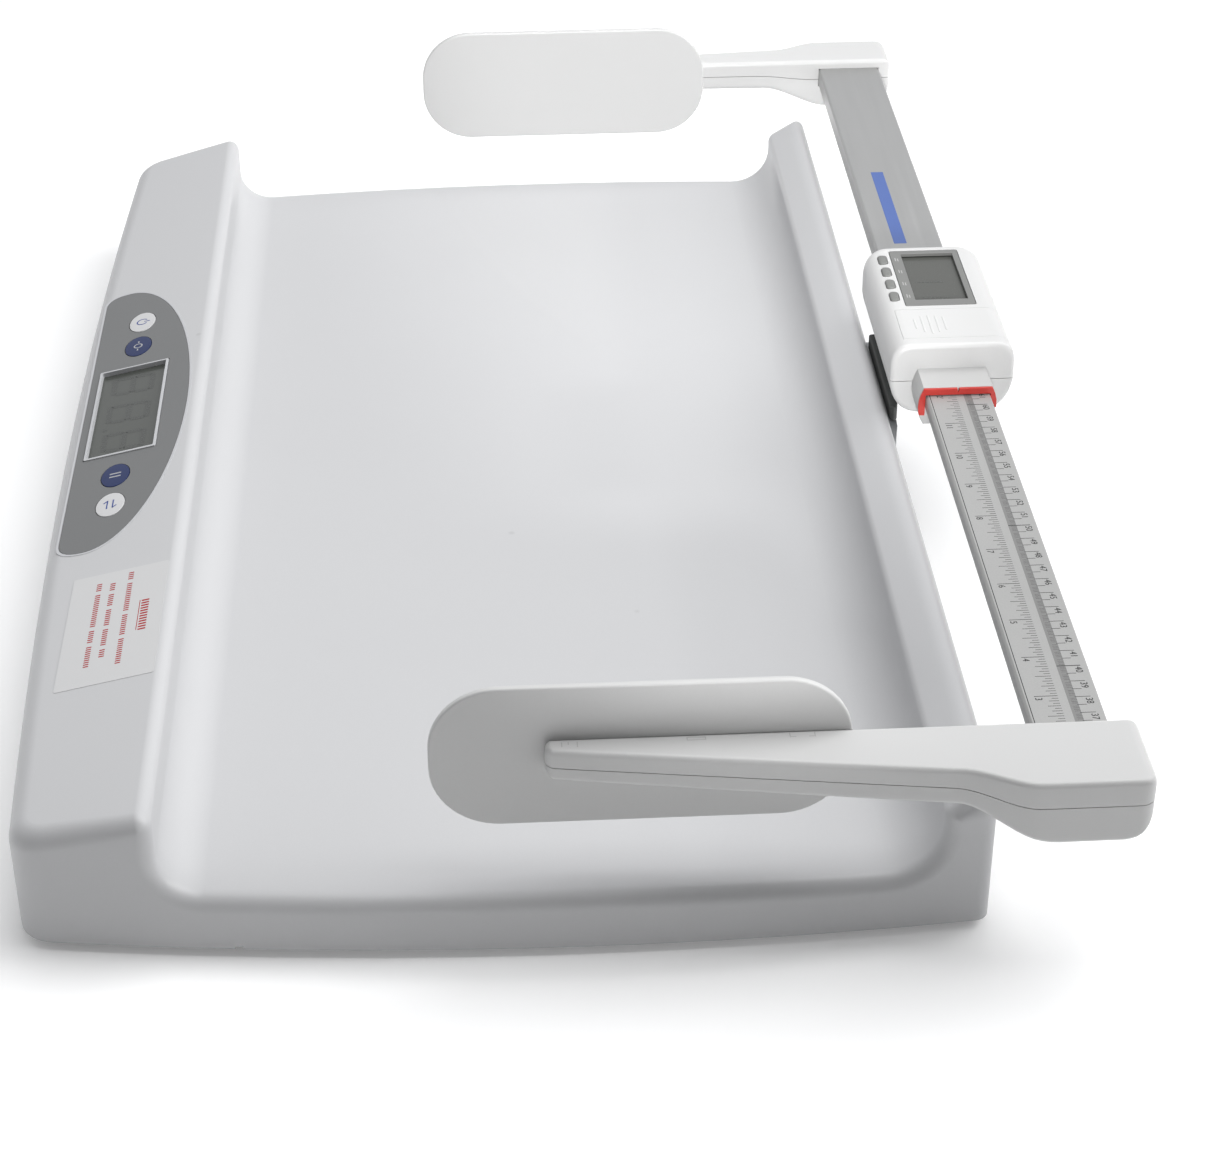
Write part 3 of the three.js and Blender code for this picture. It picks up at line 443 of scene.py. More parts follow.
def tray_outline_point(kind, value, a, b):
    """A point of the rolled border: depth a under the skin, b inside the outline."""
    cx, cy, nf, ne, xt, _ = CORNER
    side, value = value
    if kind == "front":
        x = value * xt
        n = Vector((2 * FRONT_SAG * x, -1)).normalized()
        px, py = x - b * n.x, front_y(x) - b * n.y
        return (px, py, slope_z(py, a))
    if kind == "front_corner":
        first, last = math.atan2(nf.y, nf.x), math.atan2(ne.y, ne.x)
        t = first + (last - first) * value
        r = FRONT_CORNER - b
        py = cy + r * math.sin(t)
        return (side * (cx + r * math.cos(t)), py, slope_z(py, a))
    if kind == "end_front":
        y0 = cy + (FRONT_CORNER - b) * ne.y
        y1 = section(a)[0][0]
        py = y0 + (y1 - y0) * value
        return (side * (end_x(py) - b * math.hypot(1, 2 * END_SAG * py)), py, slope_z(py, a))
    if kind == "end":
        py, pz = section(a)[value]
        return (side * (end_x(py) - b * math.hypot(1, 2 * END_SAG * py)), py, pz)
    inner = max(BACK_CORNER, b)
    r = max(BACK_CORNER - b, 0)
    by = BACK_Y - inner
    bx = end_x(by) - inner
    if kind == "end_back":
        y0 = section(a)[-1][0]
        py = y0 + (by - y0) * value
        return (side * (end_x(py) - b * math.hypot(1, 2 * END_SAG * py)), py, lip_z(py, a))
    if kind == "back_corner":
        t = math.pi / 2 * value
        py = by + r * math.sin(t)
        return (side * (bx + r * math.cos(t)), py, lip_z(py, a))
    return (value * bx, BACK_Y - b, lip_z(BACK_Y - b, a))


def tray_stations():
    arc, n_front, mids = 5, 26, 3
    rows = [("front_corner", k / (2 * arc) + 0.5, FRONT_ROLL) for k in range(arc)]
    rows += [("end_front", k / mids, FRONT_ROLL + (END_ROLL - FRONT_ROLL) * k / mids) for k in range(mids)]
    count = len(section(0))
    rows += [("end", k, END_ROLL) for k in range(count)]
    first = arc + mids
    rows += [("end_back", k / 3, END_ROLL + (BACK_ROLL - END_ROLL) * k / 3) for k in (1, 2)]
    rows += [("back_corner", k / (2 * arc), BACK_ROLL) for k in range(arc + 1)]
    front = [("front_corner", -1, 0.5 - k / (2 * arc)) for k in range(arc)]
    front += [("front", 1, -1 + 2 * k / n_front) for k in range(n_front + 1)]
    front += [("front_corner", 1, (k + 1) / (2 * arc)) for k in range(arc)]
    back = [("back_corner", -1, 0.5 + k / (2 * arc)) for k in range(arc)]
    back += [("back", 1, -1 + 2 * k / n_front) for k in range(n_front + 1)]
    back += [("back_corner", 1, 1 - (k + 1) / (2 * arc)) for k in range(arc)]
    return rows, front, back, first, first + count - 1


def tray_skin(depth, steps):
    """All points of one skin, by (row, column) on top and by ring on the rolled border."""
    rows, front, back, first, last = tray_stations()
    n, m = len(front) - 1, len(rows) - 1

    def level(radius, t):
        r = radius - depth
        return depth + r * (1 - math.cos(t)), depth + r * (1 - math.sin(t))

    def border(t):
        loop = {}
        for j, (kind, value, radius) in enumerate(rows):
            a, b = level(radius, t)
            for i, side in ((0, -1), (n, 1)):
                loop[(i, j)] = tray_outline_point(kind, (side, value), a, b)
        for i in range(1, n):
            kind, side, value = front[i]
            a, b = level(FRONT_ROLL, t)
            loop[(i, 0)] = tray_outline_point(kind, (side, value), a, b)
            kind, side, value = back[i]
            a, b = level(BACK_ROLL, t)
            loop[(i, m)] = tray_outline_point(kind, (side, value), a, b)
        return loop

    rings = [border(math.pi / 2 * k / steps) for k in range(steps + 1)]
    edge = rings[0]
    xs = [edge[(i, 0)][0] for i in range(n + 1)]
    us = [(x - xs[0]) / (xs[-1] - xs[0]) for x in xs]
    grid = {}
    for j in range(m + 1):
        left, right = edge[(0, j)], edge[(n, j)]
        for i in range(n + 1):
            if (i, j) in edge:
                grid[(i, j)] = edge[(i, j)]
                continue
            u = us[i]
            x = left[0] + (right[0] - left[0]) * u
            y, z = left[1], left[2]
            if j < first:
                end = edge[(0, first)]
                v = (left[1] - edge[(0, 0)][1]) / (end[1] - edge[(0, 0)][1])
                start = edge[(i, 0)][1]
                y = start + (end[1] - start) * v
                x += (edge[(i, 0)][0] - (edge[(0, 0)][0] * (1 - u) + edge[(n, 0)][0] * u)) * (1 - v)
                z = slope_z(y, depth)
            elif j > last:
                begin = edge[(0, last)]
                v = (left[1] - begin[1]) / (edge[(0, m)][1] - begin[1])
                y = begin[1] + (edge[(i, m)][1] - begin[1]) * v
                x += (edge[(i, m)][0] - (edge[(0, m)][0] * (1 - u) + edge[(n, m)][0] * u)) * v
                z = lip_z(y, depth)
            grid[(i, j)] = (x, y, z)
    return grid, rings, n, m


def tray_faces(grid, rings, n, m, verts, faces):
    """Adds one skin's faces and returns its bottom loop as vertex indices in order."""

    def add(p):
        verts.append(p)
        return len(verts) - 1

    top = {key: add(p) for key, p in grid.items()}
    for j in range(m):
        for i in range(n):
            faces.append((top[(i, j)], top[(i + 1, j)], top[(i + 1, j + 1)], top[(i, j + 1)]))
    loop = [(i, 0) for i in range(n)] + [(n, j) for j in range(m)]
    loop += [(i, m) for i in range(n, 0, -1)] + [(0, j) for j in range(m, 0, -1)]
    above = [top[key] for key in loop]
    size = len(loop)
    for ring in rings[1:]:
        below = [add(ring[key]) for key in loop]
        for k in range(size):
            q = (k + 1) % size
            faces.append((above[k], above[q], below[q], below[k]))
        above = below
    at = [verts[i] for i in above]
    foot = []
    for k in range(size):
        same = k > 0 and math.hypot(at[k][0] - at[k - 1][0], at[k][1] - at[k - 1][1]) < 1e-4
        foot.append(foot[-1] if same else add((at[k][0], at[k][1], SKIRT_Z)))
    k = 0
    while k < size:
        q = (k + 1) % size
        if foot[q] != foot[k]:
            start, stop = k, q
            if at[k][2] > at[k - 1][2] and foot[k - 1] == foot[k]:
                while foot[start - 1] == foot[k]:
                    start -= 1
            if foot[(q + 1) % size] == foot[q] and at[(q + 1) % size][2] < at[q][2]:
                while foot[(stop + 1) % size] == foot[q]:
                    stop += 1
            chain = [above[i % size] for i in range(start, stop + 1 if stop >= k else stop + size + 1)]
            faces.append(tuple(chain + [foot[q], foot[k]]))
        k += 1
    return foot


def tray_shell():
    verts, faces = [], []
    outer = tray_faces(*tray_skin(0, 9), verts, faces)
    inner = tray_faces(*tray_skin(WALL, 3), verts, faces)
    size = len(outer)
    for k in range(size):
        q = (k + 1) % size
        if outer[k] != outer[q]:
            faces.append((outer[k], outer[q], inner[q], inner[k]))
    shell = solid("tray_shell_skin", verts, faces)
    tools = [pillow("tool", keypad_outline(0.3), -0.75, 6, 0, 0, console, 1)]
    tools += [pillow("tool", key_outline(u, KEY_GAP), -1.6, 6, 0, 0, console, 1) for u in KEY_U.values()]
    tools.append(window_block(0, -12, 12))
    tools.append(block(-201.3, -188.7, 10.7, 21.3, -305, -291, across))
    tools += [pillow("tool", disc(x, BRACKET_SCREW_Z, 2.3, 20), 130, 150, 0, 0, lambda u, v, w: (u, w, v), 1)
              for x in BRACKET_SCREW_X]
    tools.append(block(300, 315, -141, -138, 2, 5.2))
    return carve(shell, tools)


def keypad_outline(grow):
    """The D-shaped outline of the keypad, in the console's own plane."""

    def outline(inset):
        g = grow - inset
        half, low, shoulder, rise, corner = 119.2 + g, -24.3 - g, -13, 37.5 + g, 10.5
        ring = []
        for k in range(8):
            t = k / 8
            ring.append((half - corner + corner * (1 - (1 - t) ** 2), low + (shoulder - low) * t * t))
        for k in range(64):
            t = math.pi * k / 63
            ring.append((half * math.cos(t), shoulder + rise * math.sin(t)))
        for k in range(1, 9):
            t = 1 - k / 8
            ring.append((-half + corner - corner * (1 - (1 - t) ** 2), low + (shoulder - low) * t * t))
        return ring

    return outline


def key_outline(u, grow=0.0):
    """The oval of one key."""

    def outline(inset):
        a, b = (half + grow - inset for half in KEY_HALF)
        return [(u + a * math.cos(math.pi * k / 28), KEY_V + b * math.sin(math.pi * k / 28)) for k in range(56)]

    return outline


def window_outline(grow, radius):
    a, b = (half + grow for half in WINDOW_HALF)
    return rounded(-a, a, KEY_V - b, KEY_V + b, radius, 3)


def window_block(grow, low, high):
    a, b = (half + grow for half in WINDOW_HALF)
    return block(-a, a, KEY_V - b, KEY_V + b, low, high, console)


CORNER = front_corner_centre()
piece(tray_shell(), TRAY, "tray", ["tray_shell"], 38)


# ---------------------------------------------------------------- console
def bars(name, boxes, low, high, place=flat):
    """Printed marks as one mesh of thin closed bars, each (u0, u1, v0, v1)."""
    verts, faces = [], []
    for u0, u1, v0, v1 in boxes:
        base = len(verts)
        for w in (low, high):
            verts += [place(u0, v0, w), place(u1, v0, w), place(u1, v1, w), place(u0, v1, w)]
        faces += [tuple(base + i for i in f) for f in
                  ((3, 2, 1, 0), (4, 5, 6, 7), (0, 1, 5, 4), (1, 2, 6, 5), (2, 3, 7, 6), (3, 0, 4, 7))]
    return solid(name, verts, faces)


def prisms(name, outlines, low, high, place=flat):
    """Printed marks of any outline as one mesh of thin closed prisms."""
    verts, faces = [], []
    for ring in outlines:
        base, n = len(verts), len(ring)
        verts += [place(u, v, low) for u, v in ring] + [place(u, v, high) for u, v in ring]
        faces.append(tuple(base + i for i in reversed(range(n))))
        faces.append(tuple(base + n + i for i in range(n)))
        for i in range(n):
            j = (i + 1) % n
            faces.append((base + i, base + j, base + n + j, base + n + i))
    return solid(name, verts, faces)


def arc_band(cu, cv, radius, width, start, stop, steps=24):
    """Outline of an arc-shaped stroke, angles in degrees."""
    outer, inner = [], []
    for k in range(steps + 1):
        t = math.radians(start + (stop - start) * k / steps)
        outer.append((cu + (radius + width / 2) * math.cos(t), cv + (radius + width / 2) * math.sin(t)))
        inner.append((cu + (radius - width / 2) * math.cos(t), cv + (radius - width / 2) * math.sin(t)))
    return outer + inner[::-1]


def stroke(u0, v0, u1, v1, width):
    d = Vector((u1 - u0, v1 - v0)).normalized() * width / 2
    return [(u0 + d.y, v0 - d.x), (u1 + d.y, v1 - d.x), (u1 - d.y, v1 + d.x), (u0 - d.y, v0 + d.x)]


def seven_segments(cu, cv, width, height, bar, gap=0.35, slant=0.08):
    """The seven hexagon segments of one figure, in a plane with v up."""
    half = bar / 2

    def level(v):
        left, right = -width / 2 + half + gap, width / 2 - half - gap
        return [(left - half + gap, v), (left, v + half), (right, v + half),
                (right + half - gap, v), (right, v - half), (left, v - half)]

    def upright(u, v0, v1):
        low, high = v0 + gap, v1 - gap
        return [(u, low), (u + half, low + half), (u + half, high - half),
                (u, high), (u - half, high - half), (u - half, low + half)]

    side, top = width / 2 - half, height / 2 - half
    shapes = [level(-top), level(0), level(top), upright(-side, -top, 0), upright(side, -top, 0),
              upright(-side, 0, top), upright(side, 0, top)]
    return [[(cu + u + slant * v, cv + v) for u, v in shape] for shape in shapes]


overlay = pillow("keypad_film", keypad_outline(0), -0.45, 0.25, 0, 0.12, console, 2)
carve(overlay, [window_block(0, -3, 3)]
      + [pillow("tool", key_outline(u, KEY_GAP), -3, 3, 0, 0, console, 1) for u in KEY_U.values()])
piece(overlay, FILM, "tray", ["keypad_overlay"])
rim = pillow("keypad_rim", keypad_outline(1.3), 0.02, 0.2, 0, 0.1, console, 2)
carve(rim, [pillow("tool", keypad_outline(0.15), -3, 3, 0, 0, console, 1)])
piece(rim, FRAME, "tray")

window = pillow("window_frame", window_outline(-0.3, 0.8), -3, 0.7, 0, 0.3, console, 2)
carve(window, [pillow("tool", window_outline(-1.5, 0.5), -5, 5, 0, 0, console, 1)])
piece(window, FRAME, "tray", ["lcd_frame"])

glass = pillow("main_readout", window_outline(-1.6, 0.6), -4.6, -1.4, 0.1, 0.05, console, 2)
piece(glass, GLASS, "tray", ["main_lcd"])
figures = []
for cu in (-26, 0, 26):
    figures += seven_segments(cu, KEY_V, 17, 21, 2.8)
figures.append(disc(13, KEY_V - 10, 1.3, 16)(0))
piece(prisms("main_readout_figures", figures, -1.41, -1.37, console), GHOST, "tray")

for name, u in KEY_U.items():
    white = name in ("key_power", "key_units")
    cap = pillow(name + "_cap", key_outline(u), -0.45, 0.42, 0, 0.25, console, 3, 0.12)
    piece(cap, KEY_WHITE if white else KEY_BLUE, name, [name])
SIGN = 0.62


def key_strokes(key, ends, width=SIGN):
    """Straight strokes of a key's sign, each (u0, v0, u1, v1) from the middle of the key."""
    return [stroke(KEY_U[key] + u0, KEY_V + v0, KEY_U[key] + u1, KEY_V + v1, width) for u0, v0, u1, v1 in ends]


signs = {
    "key_power": [arc_band(KEY_U["key_power"], KEY_V, 2.6, SIGN, -235, 55)]
                 + key_strokes("key_power", [(0, 0.9, 0, 3.7)]),
    "key_zero": [arc_band(KEY_U["key_zero"], KEY_V, 1.9, SIGN, 0, 359.9)]
                + key_strokes("key_zero", [(-4.6, 0, -2.9, 0), (2.9, 0, 4.6, 0)]),
    "key_hold": key_strokes("key_hold", [(d, -2.6, d, 2.6) for d in (-1.3, 1.3)], 0.9),
    "key_units": key_strokes("key_units", [(-3.4, 1.3, 3.2, 1.3), (3.2, 1.1, 1.4, 3.0),
                                           (-3.2, -1.3, 3.4, -1.3), (-3.2, -1.1, -1.4, -3.0)]),
}
for name, outlines in signs.items():
    ink = INK_BLUE if name in ("key_power", "key_units") else INK_WHITE
    piece(prisms(name + "_sign", outlines, 0.40, 0.57, console), ink, name)



def on_label(u, v, w):
    """The label's own plane: u from the middle of the tray, v from the label's middle line."""
    return console(u - CONSOLE_X, v + LABEL_DROP, w)


label = pillow("notice_label", rounded(*LABEL_X, -LABEL_HALF, LABEL_HALF, 1.2, 4), 0.02, 0.16, 0, 0.05, on_label, 2)
piece(label, LABEL, "tray")
# Dashes stand in for the words: each row is (v, height, first u, letters in each word), two dashes a letter.
PRINT_ROWS = ((11.0, 3.2, 151.7, (6,)), (3.5, 2.2, 128.4, (2, 7, 5, 6)), (-3.9, 2.2, 134, (2, 3, 4, 4, 2)),
              (-9.8, 2.2, 132.4, (2, 8, 3, 5)))
WORD_SPACE = 2.3
print_boxes = []
for row_v, tall, start, words in PRINT_ROWS:
    u0 = start
    for length in words:
        for _ in range(2 * length):
            print_boxes.append((u0, u0 + 0.24 * tall + 0.2, row_v, row_v + tall))
            u0 += 0.4 * tall + 0.62
        u0 += WORD_SPACE
print_boxes.append((151.7, 173.2, 10.1, 10.4))
piece(bars("notice_label_bars", print_boxes, 0.15, 0.19, on_label), INK_RED, "tray")

for node in ("main_board", "display_board"):
    dress(node, BOARD, 0.2)
for node in ("dc_inlet", "battery_box", "battery_door", "ruler_glide", "coin_holder", "encoder_fork"):
    dress(node, DARK, 0.3)
for k in range(1, 5):
    dress(f"battery_cell_{k}", CELL, 0.4)
    dress(f"levelling_foot_{k}", RUBBER, 0.4)
    dress(f"stop_post_{k}", STEEL, 0.3)
for node in ("base_pan", "load_cell_foot", "load_cell_cap", "load_spider", "coin_cell", "rod_bracket",
             "bracket_screw_1", "bracket_screw_2"):
    dress(node, STEEL, 0.35)
dress("load_cell", ALUMINIUM, 0.4)
dress("outer_rail", ALUMINIUM, 0.35)
dress("ruler", RULER, 0.25)
dress("encoder_wheel", RUBBER, 0.15)
dress("index_pointer", RED, 0.2)


# ---------------------------------------------------------------- arms and paddles
def ease(points, y):
    """Value at y along a list of (y, value) with smooth S-shaped steps where flagged."""
    for (y0, v0, smooth), (y1, v1, _) in zip(points, points[1:]):
        if y <= y1:
            t = max(0.0, (y - y0) / (y1 - y0))
            t = t * t * (3 - 2 * t) if smooth else t
            return v0 + (v1 - v0) * t
    return points[-1][1]


def end_inset(y, start, stop, r_start, r_stop):
    """How far a side has drawn in near the two ends, as quarter circles."""
    if y < start + r_start:
        d = start + r_start - y
        return r_start - math.sqrt(max(r_start**2 - d**2, 0))
    if y > stop - r_stop:
        d = y - (stop - r_stop)
        return r_stop - math.sqrt(max(r_stop**2 - d**2, 0))
    return 0.0


ARM_TIP, ARM_END = -25, 190
SEAM = [(-60, 83.7, False), (116, 82.9, True), (148, 80.3, False), (200, 80.3, False)]
ARM_LOW = [(-60, 78.4, False), (86, 75.6, False), (120, 75.3, True), (156, 64.2, False), (200, 64.2, False)]


QUARTER = [math.pi / 2 * k / 5 for k in range(6)]


def arm_rings(inner, outer, upper, side):
    """Cross-sections of half an arm. inner is the X of its flat side, outer the X of the other, listed along Y."""
    stations = [ARM_TIP + 3 * (1 - math.cos(math.pi / 2 * k / 5)) for k in range(6)]
    stations += [-10 + 12 * k for k in range(8)]
    stations += [84, 90] + [96 + 3 * k for k in range(20)]
    stations += [156, 160, 165, 170, 175]
    stations += [178 + 12 * math.sin(math.pi / 2 * k / 9) for k in range(10)]
    rings = []
    for y in stations:
        xi = inner + side * end_inset(y, ARM_TIP, ARM_END, 2.2, 2.5)
        xo = ease(outer, y) - side * end_inset(y, ARM_TIP, ARM_END, 4, 6)
        top = 91 - end_inset(y, ARM_TIP, ARM_END, 2.5, 4)
        low = ease(ARM_LOW, y) + end_inset(y, ARM_TIP, ARM_END, 4, 11)
        seam = ease(SEAM, y)
        x0, x1 = min(xi, xo), max(xi, xo)
        radius = 2.2
        ring = []
        if upper:
            z0, z1 = seam + SEAM_GAP, top
            ring = [(x0, y, z0), (x1, y, z0)]
            ring += [(x1, y, z0 + (z1 - radius - z0) * k / 3) for k in (1, 2)]
            ring += [(x1 - radius + radius * math.cos(t), y, z1 - radius + radius * math.sin(t)) for t in QUARTER]
            ring += [(x0 + radius - radius * math.sin(t), y, z1 - radius + radius * math.cos(t)) for t in QUARTER]
            ring += [(x0, y, z0 + (z1 - radius - z0) * k / 3) for k in (2, 1)]
        else:
            z0, z1 = low, seam - SEAM_GAP
            radius = min(radius, (z1 - z0) * 0.45)
            ring = [(x1, y, z1), (x0, y, z1)]
            ring += [(x0, y, z1 - (z1 - z0 - radius) * k / 3) for k in (1, 2)]
            ring += [(x0 + radius - radius * math.cos(t), y, z0 + radius - radius * math.sin(t)) for t in QUARTER]
            ring += [(x1 - radius + radius * math.sin(t), y, z0 + radius - radius * math.cos(t)) for t in QUARTER]
            ring += [(x1, y, z1 - (z1 - z0 - radius) * k / 3) for k in (2, 1)]
        rings.append(ring)
    return rings


def arm(name, inner, outer, side, body, socket):
    """Both halves of one arm, with the pocket that takes the rod's end."""
    for upper in (True, False):
        part = "upper" if upper else "lower"
        shell = loft(f"{name}_arm_{part}_shell", arm_rings(inner, outer, upper, side))
        carve(shell, [block(*socket)])
        piece(shell, WHITE, body, [f"{name}_arm_{part}"], 34)


FOOT_FRONT = [(-60, 301.5, False), (-25, 306.5, False), (119, 326.2, True), (149, 337, False), (200, 337, False)]
HEAD_BACK = [(-60, -321, False), (-25, -324.5, False), (127, -336.6, True), (152, -346, False), (200, -346, False)]
arm("foot", 298.8, FOOT_FRONT, 1, "foot_slide", (290, 331.05, ROD_Y - 14.35, ROD_Y + 14.35, 77.95, 83.95))
arm("head", -317.8, HEAD_BACK, -1, "tray", (-342.05, -290, ROD_Y - 16.55, ROD_Y + 16.55, 76.25, 86.35))
for name, body, x in (("head_paddle", "tray", -317.5), ("foot_paddle", "foot_slide", 295.5)):
    plate = pillow(name + "_plate", rounded(-66.8, 86.6, 52.5, 112.8, 26, 14), x, x + 3, 0.9, 0.9, across, 4)
    piece(plate, WHITE, body, [name])
marks = [(301.0, 301.4, 26, 33), (302.6, 303.0, 26, 33), (301.4, 302.6, 26, 26.4), (301.4, 302.6, 32.6, 33),
         (300.6, 303.4, 63, 63.4), (302.8, 303.2, 63.4, 65.4), (300.6, 303.4, 72, 72.4), (302.8, 303.2, 70, 72),
         (301.4, 304.2, -19, -18.6), (301.4, 303.0, -16.6, -16.2), (301.4, 304.6, -13.4, -13.0)]
piece(bars("foot_arm_mould_marks", marks, 90.98, 91.03), INK_GREY, "foot_slide")


# ---------------------------------------------------------------- display head
DX0, DX1 = -72, 27.5
D_HALF, D_TOP, D_LOW, D_SEAM = 27.8, 99, 64.5, 81.2
D_TUCK = 2.2
BUTTON_HALF = (4.6, 2.1)


def quad(p0, p1, p2, steps):
    """Points along a quadratic curve."""
    return [((1 - t) ** 2 * p0[0] + 2 * t * (1 - t) * p1[0] + t * t * p2[0],
             (1 - t) ** 2 * p0[1] + 2 * t * (1 - t) * p1[1] + t * t * p2[1])
            for t in [k / steps for k in range(steps + 1)]]


def display_rings(upper, inset=0.0, gap=SEAM_GAP):
    """Cross-sections of half the display head along X."""
    stations = [DX0 + inset + 9 * (1 - math.cos(math.pi / 2 * k / 8)) for k in range(9)]
    stations += [-55 + 11 * k for k in range(7)] + [17.5]
    stations += [DX1 - inset - 2.2 * (1 - math.sin(math.pi / 2 * k / 6)) for k in range(7)]
    rings = []
    for x in stations:
        drawn = end_inset(x, DX0 + inset, DX1 - inset, 9, 2.2)
        dip = end_inset(x, DX0 + inset, DX1 - inset, 3.5, 2.2)
        half = D_HALF - inset - drawn
        top, low = D_TOP - inset - dip, D_LOW + inset + dip
        if upper:
            z0 = D_SEAM + gap
            right = [(half, z0), (half, 84.4)] + quad((half, 88 - dip), (half, top), (half - 9, top), 9)
            right += [(half - 12, top), (half * 0.25, top)]
        else:
            z0 = D_SEAM - gap
            right = [(half, z0), (half, 80.6)] + quad((half, 80), (half - D_TUCK, low), (half - 14.8, low), 9)
            right += [(half * 0.15, low)]
        ring = [(x, ROD_Y + v, z) for v, z in right] + [(x, ROD_Y - v, z) for v, z in reversed(right)]
        rings.append(ring)
    return rings


ROD_DISPLAY_Y = 167.8
RAIL_HOLE = (-90, 24.05, ROD_Y - 16.55, ROD_Y + 16.55, 76.25, 86.35)
RULER_HOLE = (0, 60, ROD_Y - 14.6, ROD_Y + 14.6, 77.7, 84.2)
BUTTON_X = (-57.2, -44.9, -32.5, -20.1)
BUTTON_Y = 147.9


def shift_y(rings, dy):
    """The same rings moved along Y."""
    return [[(x, y + dy, z) for x, y, z in ring] for ring in rings]


def snout_outline(inset):
    """The nose's section in Y and Z, its sides bulging a little."""
    low, high = 69 + inset, 87.3 - inset
    right = quad((14.5 - inset, low), (20 - inset, 78), (15.2 - inset, high), 12)
    return [(ROD_Y + v, z) for v, z in right] + [(ROD_Y - v, z) for v, z in reversed(right)]


offset = ROD_DISPLAY_Y - ROD_Y
upper = loft("display_upper_shell", shift_y(display_rings(True), offset))
tools = [block(*RAIL_HOLE), block(*RULER_HOLE),
         pillow("tool", rounded(-66.3, -10.2, 151.6, 184.3, 1.0, 3), 97.7, 110, 0, 0, flat, 1),
         block(-64, -14.5, 155.5, 182.5, 92, 110), block(-7, 20.6, 146, 210, 90, 110),
         block(-66.7, -9.8, 143.8, 191.6, 89.8, 92.2), block(8.8, 15.2, 161.5, 173, 80, 92)]
# Each button's hole is 0.2 mm wider all round than the button.
tools += [pillow("tool", rounded(x - 4.8, x + 4.8, BUTTON_Y - 2.3, BUTTON_Y + 2.3, 2, 4), 92, 110, 0, 0, flat, 1)
          for x in BUTTON_X]
carve(upper, tools)
piece(upper, WHITE, "tray", ["display_upper"], 30)

lower = loft("display_lower_shell", shift_y(display_rings(False), offset))
carve(lower, [block(*RAIL_HOLE), block(*RULER_HOLE)])
piece(lower, WHITE, "tray", ["display_lower"], 30)

nose = pillow("display_nose", snout_outline, DX1 - 0.5, 45, 0, 0.4, across, 3)
carve(nose, [block(*RULER_HOLE)])
piece(nose, NOSE, "tray")

lid = loft("display_door_lid", shift_y(display_rings(True, 0.0, -3), offset))
carve(lid, [block(-6.85, 20.45, 146.15, 210, 90.15, 110)], "INTERSECT")
carve(lid, [loft("tool", shift_y(display_rings(True, 2.0, -6), offset))])
ribs = []
for k, (half_length, centre) in enumerate(((4.5, 7.0), (7.5, 7.5), (8.8, 7.8), (7.8, 7.4), (6.2, 7.0))):
    y = 153.4 + 3.3 * k
    ribs.append(pillow("tool", rounded(centre - half_length, centre + half_length, y - 0.45, y + 0.45, 0.44, 4),
                       98, 99.22, 0, 0.2, flat, 2))
carve(lid, ribs, "UNION")
piece(lid, WHITE, "display_door", ["display_battery_door"], 30)

bezel = pillow("display_bezel_frame", rounded(-66, -10.5, 151.9, 184, 0.8, 4), 97.8, 99.1, 0, 0.25, flat, 2)
carve(bezel, [pillow("tool", rounded(-62.5, -16, 157, 181.3, 0.5, 3), 90, 110, 0, 0, flat, 1)])
piece(bezel, BEZEL, "tray", ["display_bezel"])
small = pillow("display_readout", rounded(-63.6, -15, 155.9, 182.1, 0.5, 3), 94.3, 97.4, 0.1, 0.1, flat, 2)
piece(small, SMALL_GLASS, "tray", ["display_lcd"])


def sideways(u, v, w):
    """Figures on the small readout read along Y, with their tops towards the head paddle."""
    return (-v, u, w)


figures = []
for cu in (162.2, 165.6, 169.0, 172.4):
    figures += seven_segments(cu, 19.0, 2.6, 4.6, 0.5, 0.12)
figures.append(stroke(160.8, 36.5, 173.4, 36.5, 0.7))
piece(prisms("display_readout_figures", figures, 97.39, 97.43, sideways), GHOST, "tray")
key_marks = [(x - 1.6, x + 1.6, 153.6, 154.0) for x in BUTTON_X]
key_marks += [(x - 1.0, x + 1.8, 154.7, 155.1) for x in BUTTON_X]
piece(bars("display_key_marks", key_marks, 99.09, 99.13), INK_GREY, "tray")
for k, x in enumerate(BUTTON_X, 1):
    a, b = BUTTON_HALF
    plan = rounded(x - a, x + a, BUTTON_Y - b, BUTTON_Y + b, 1.9, 5)
    cap = pillow(f"display_button_{k}_cap", plan, 92.7, 99.4, 0, 0.8, flat, 4, 0.15)
    piece(cap, BUTTON, f"display_button_{k}", [f"display_button_{k}"])


def pad_outline(inset):
    """Plan of the pad: wide under the display, a narrow nose along the tray's back edge."""
    ends = [(-50 + inset, 142 + inset), (19 - inset, 142 + inset), (21.5 - inset, 143.8),
            (19.5 - inset, 145.4 - inset), (-8 - inset, 150), (-8 - inset, 182 - inset), (-50 + inset, 182 - inset)]
    ring = []
    for k, here in enumerate(ends):
        here, before, after = Vector(here), Vector(ends[k - 1]), Vector(ends[(k + 1) % len(ends)])
        near = min(1.5, (here - before).length / 3, (here - after).length / 3)
        start = here + (before - here).normalized() * near
        stop = here + (after - here).normalized() * near
        ring += quad(start, here, stop, 4)
    return ring


pad = pillow("bracket_pad_block", pad_outline, 56.8, 64.2, 0.8, 0.8, flat, 3)
piece(pad, PAD, "tray", ["bracket_pad"])

# ---------------------------------------------------------------- printing on the rod
bar = pillow("rail_blue_bar", rounded(-182, -100, 160.3, 166.5, 0.3, 2), 86.28, 86.34, 0, 0.01, flat, 1)
piece(bar, BLUE_BAR, "tray")


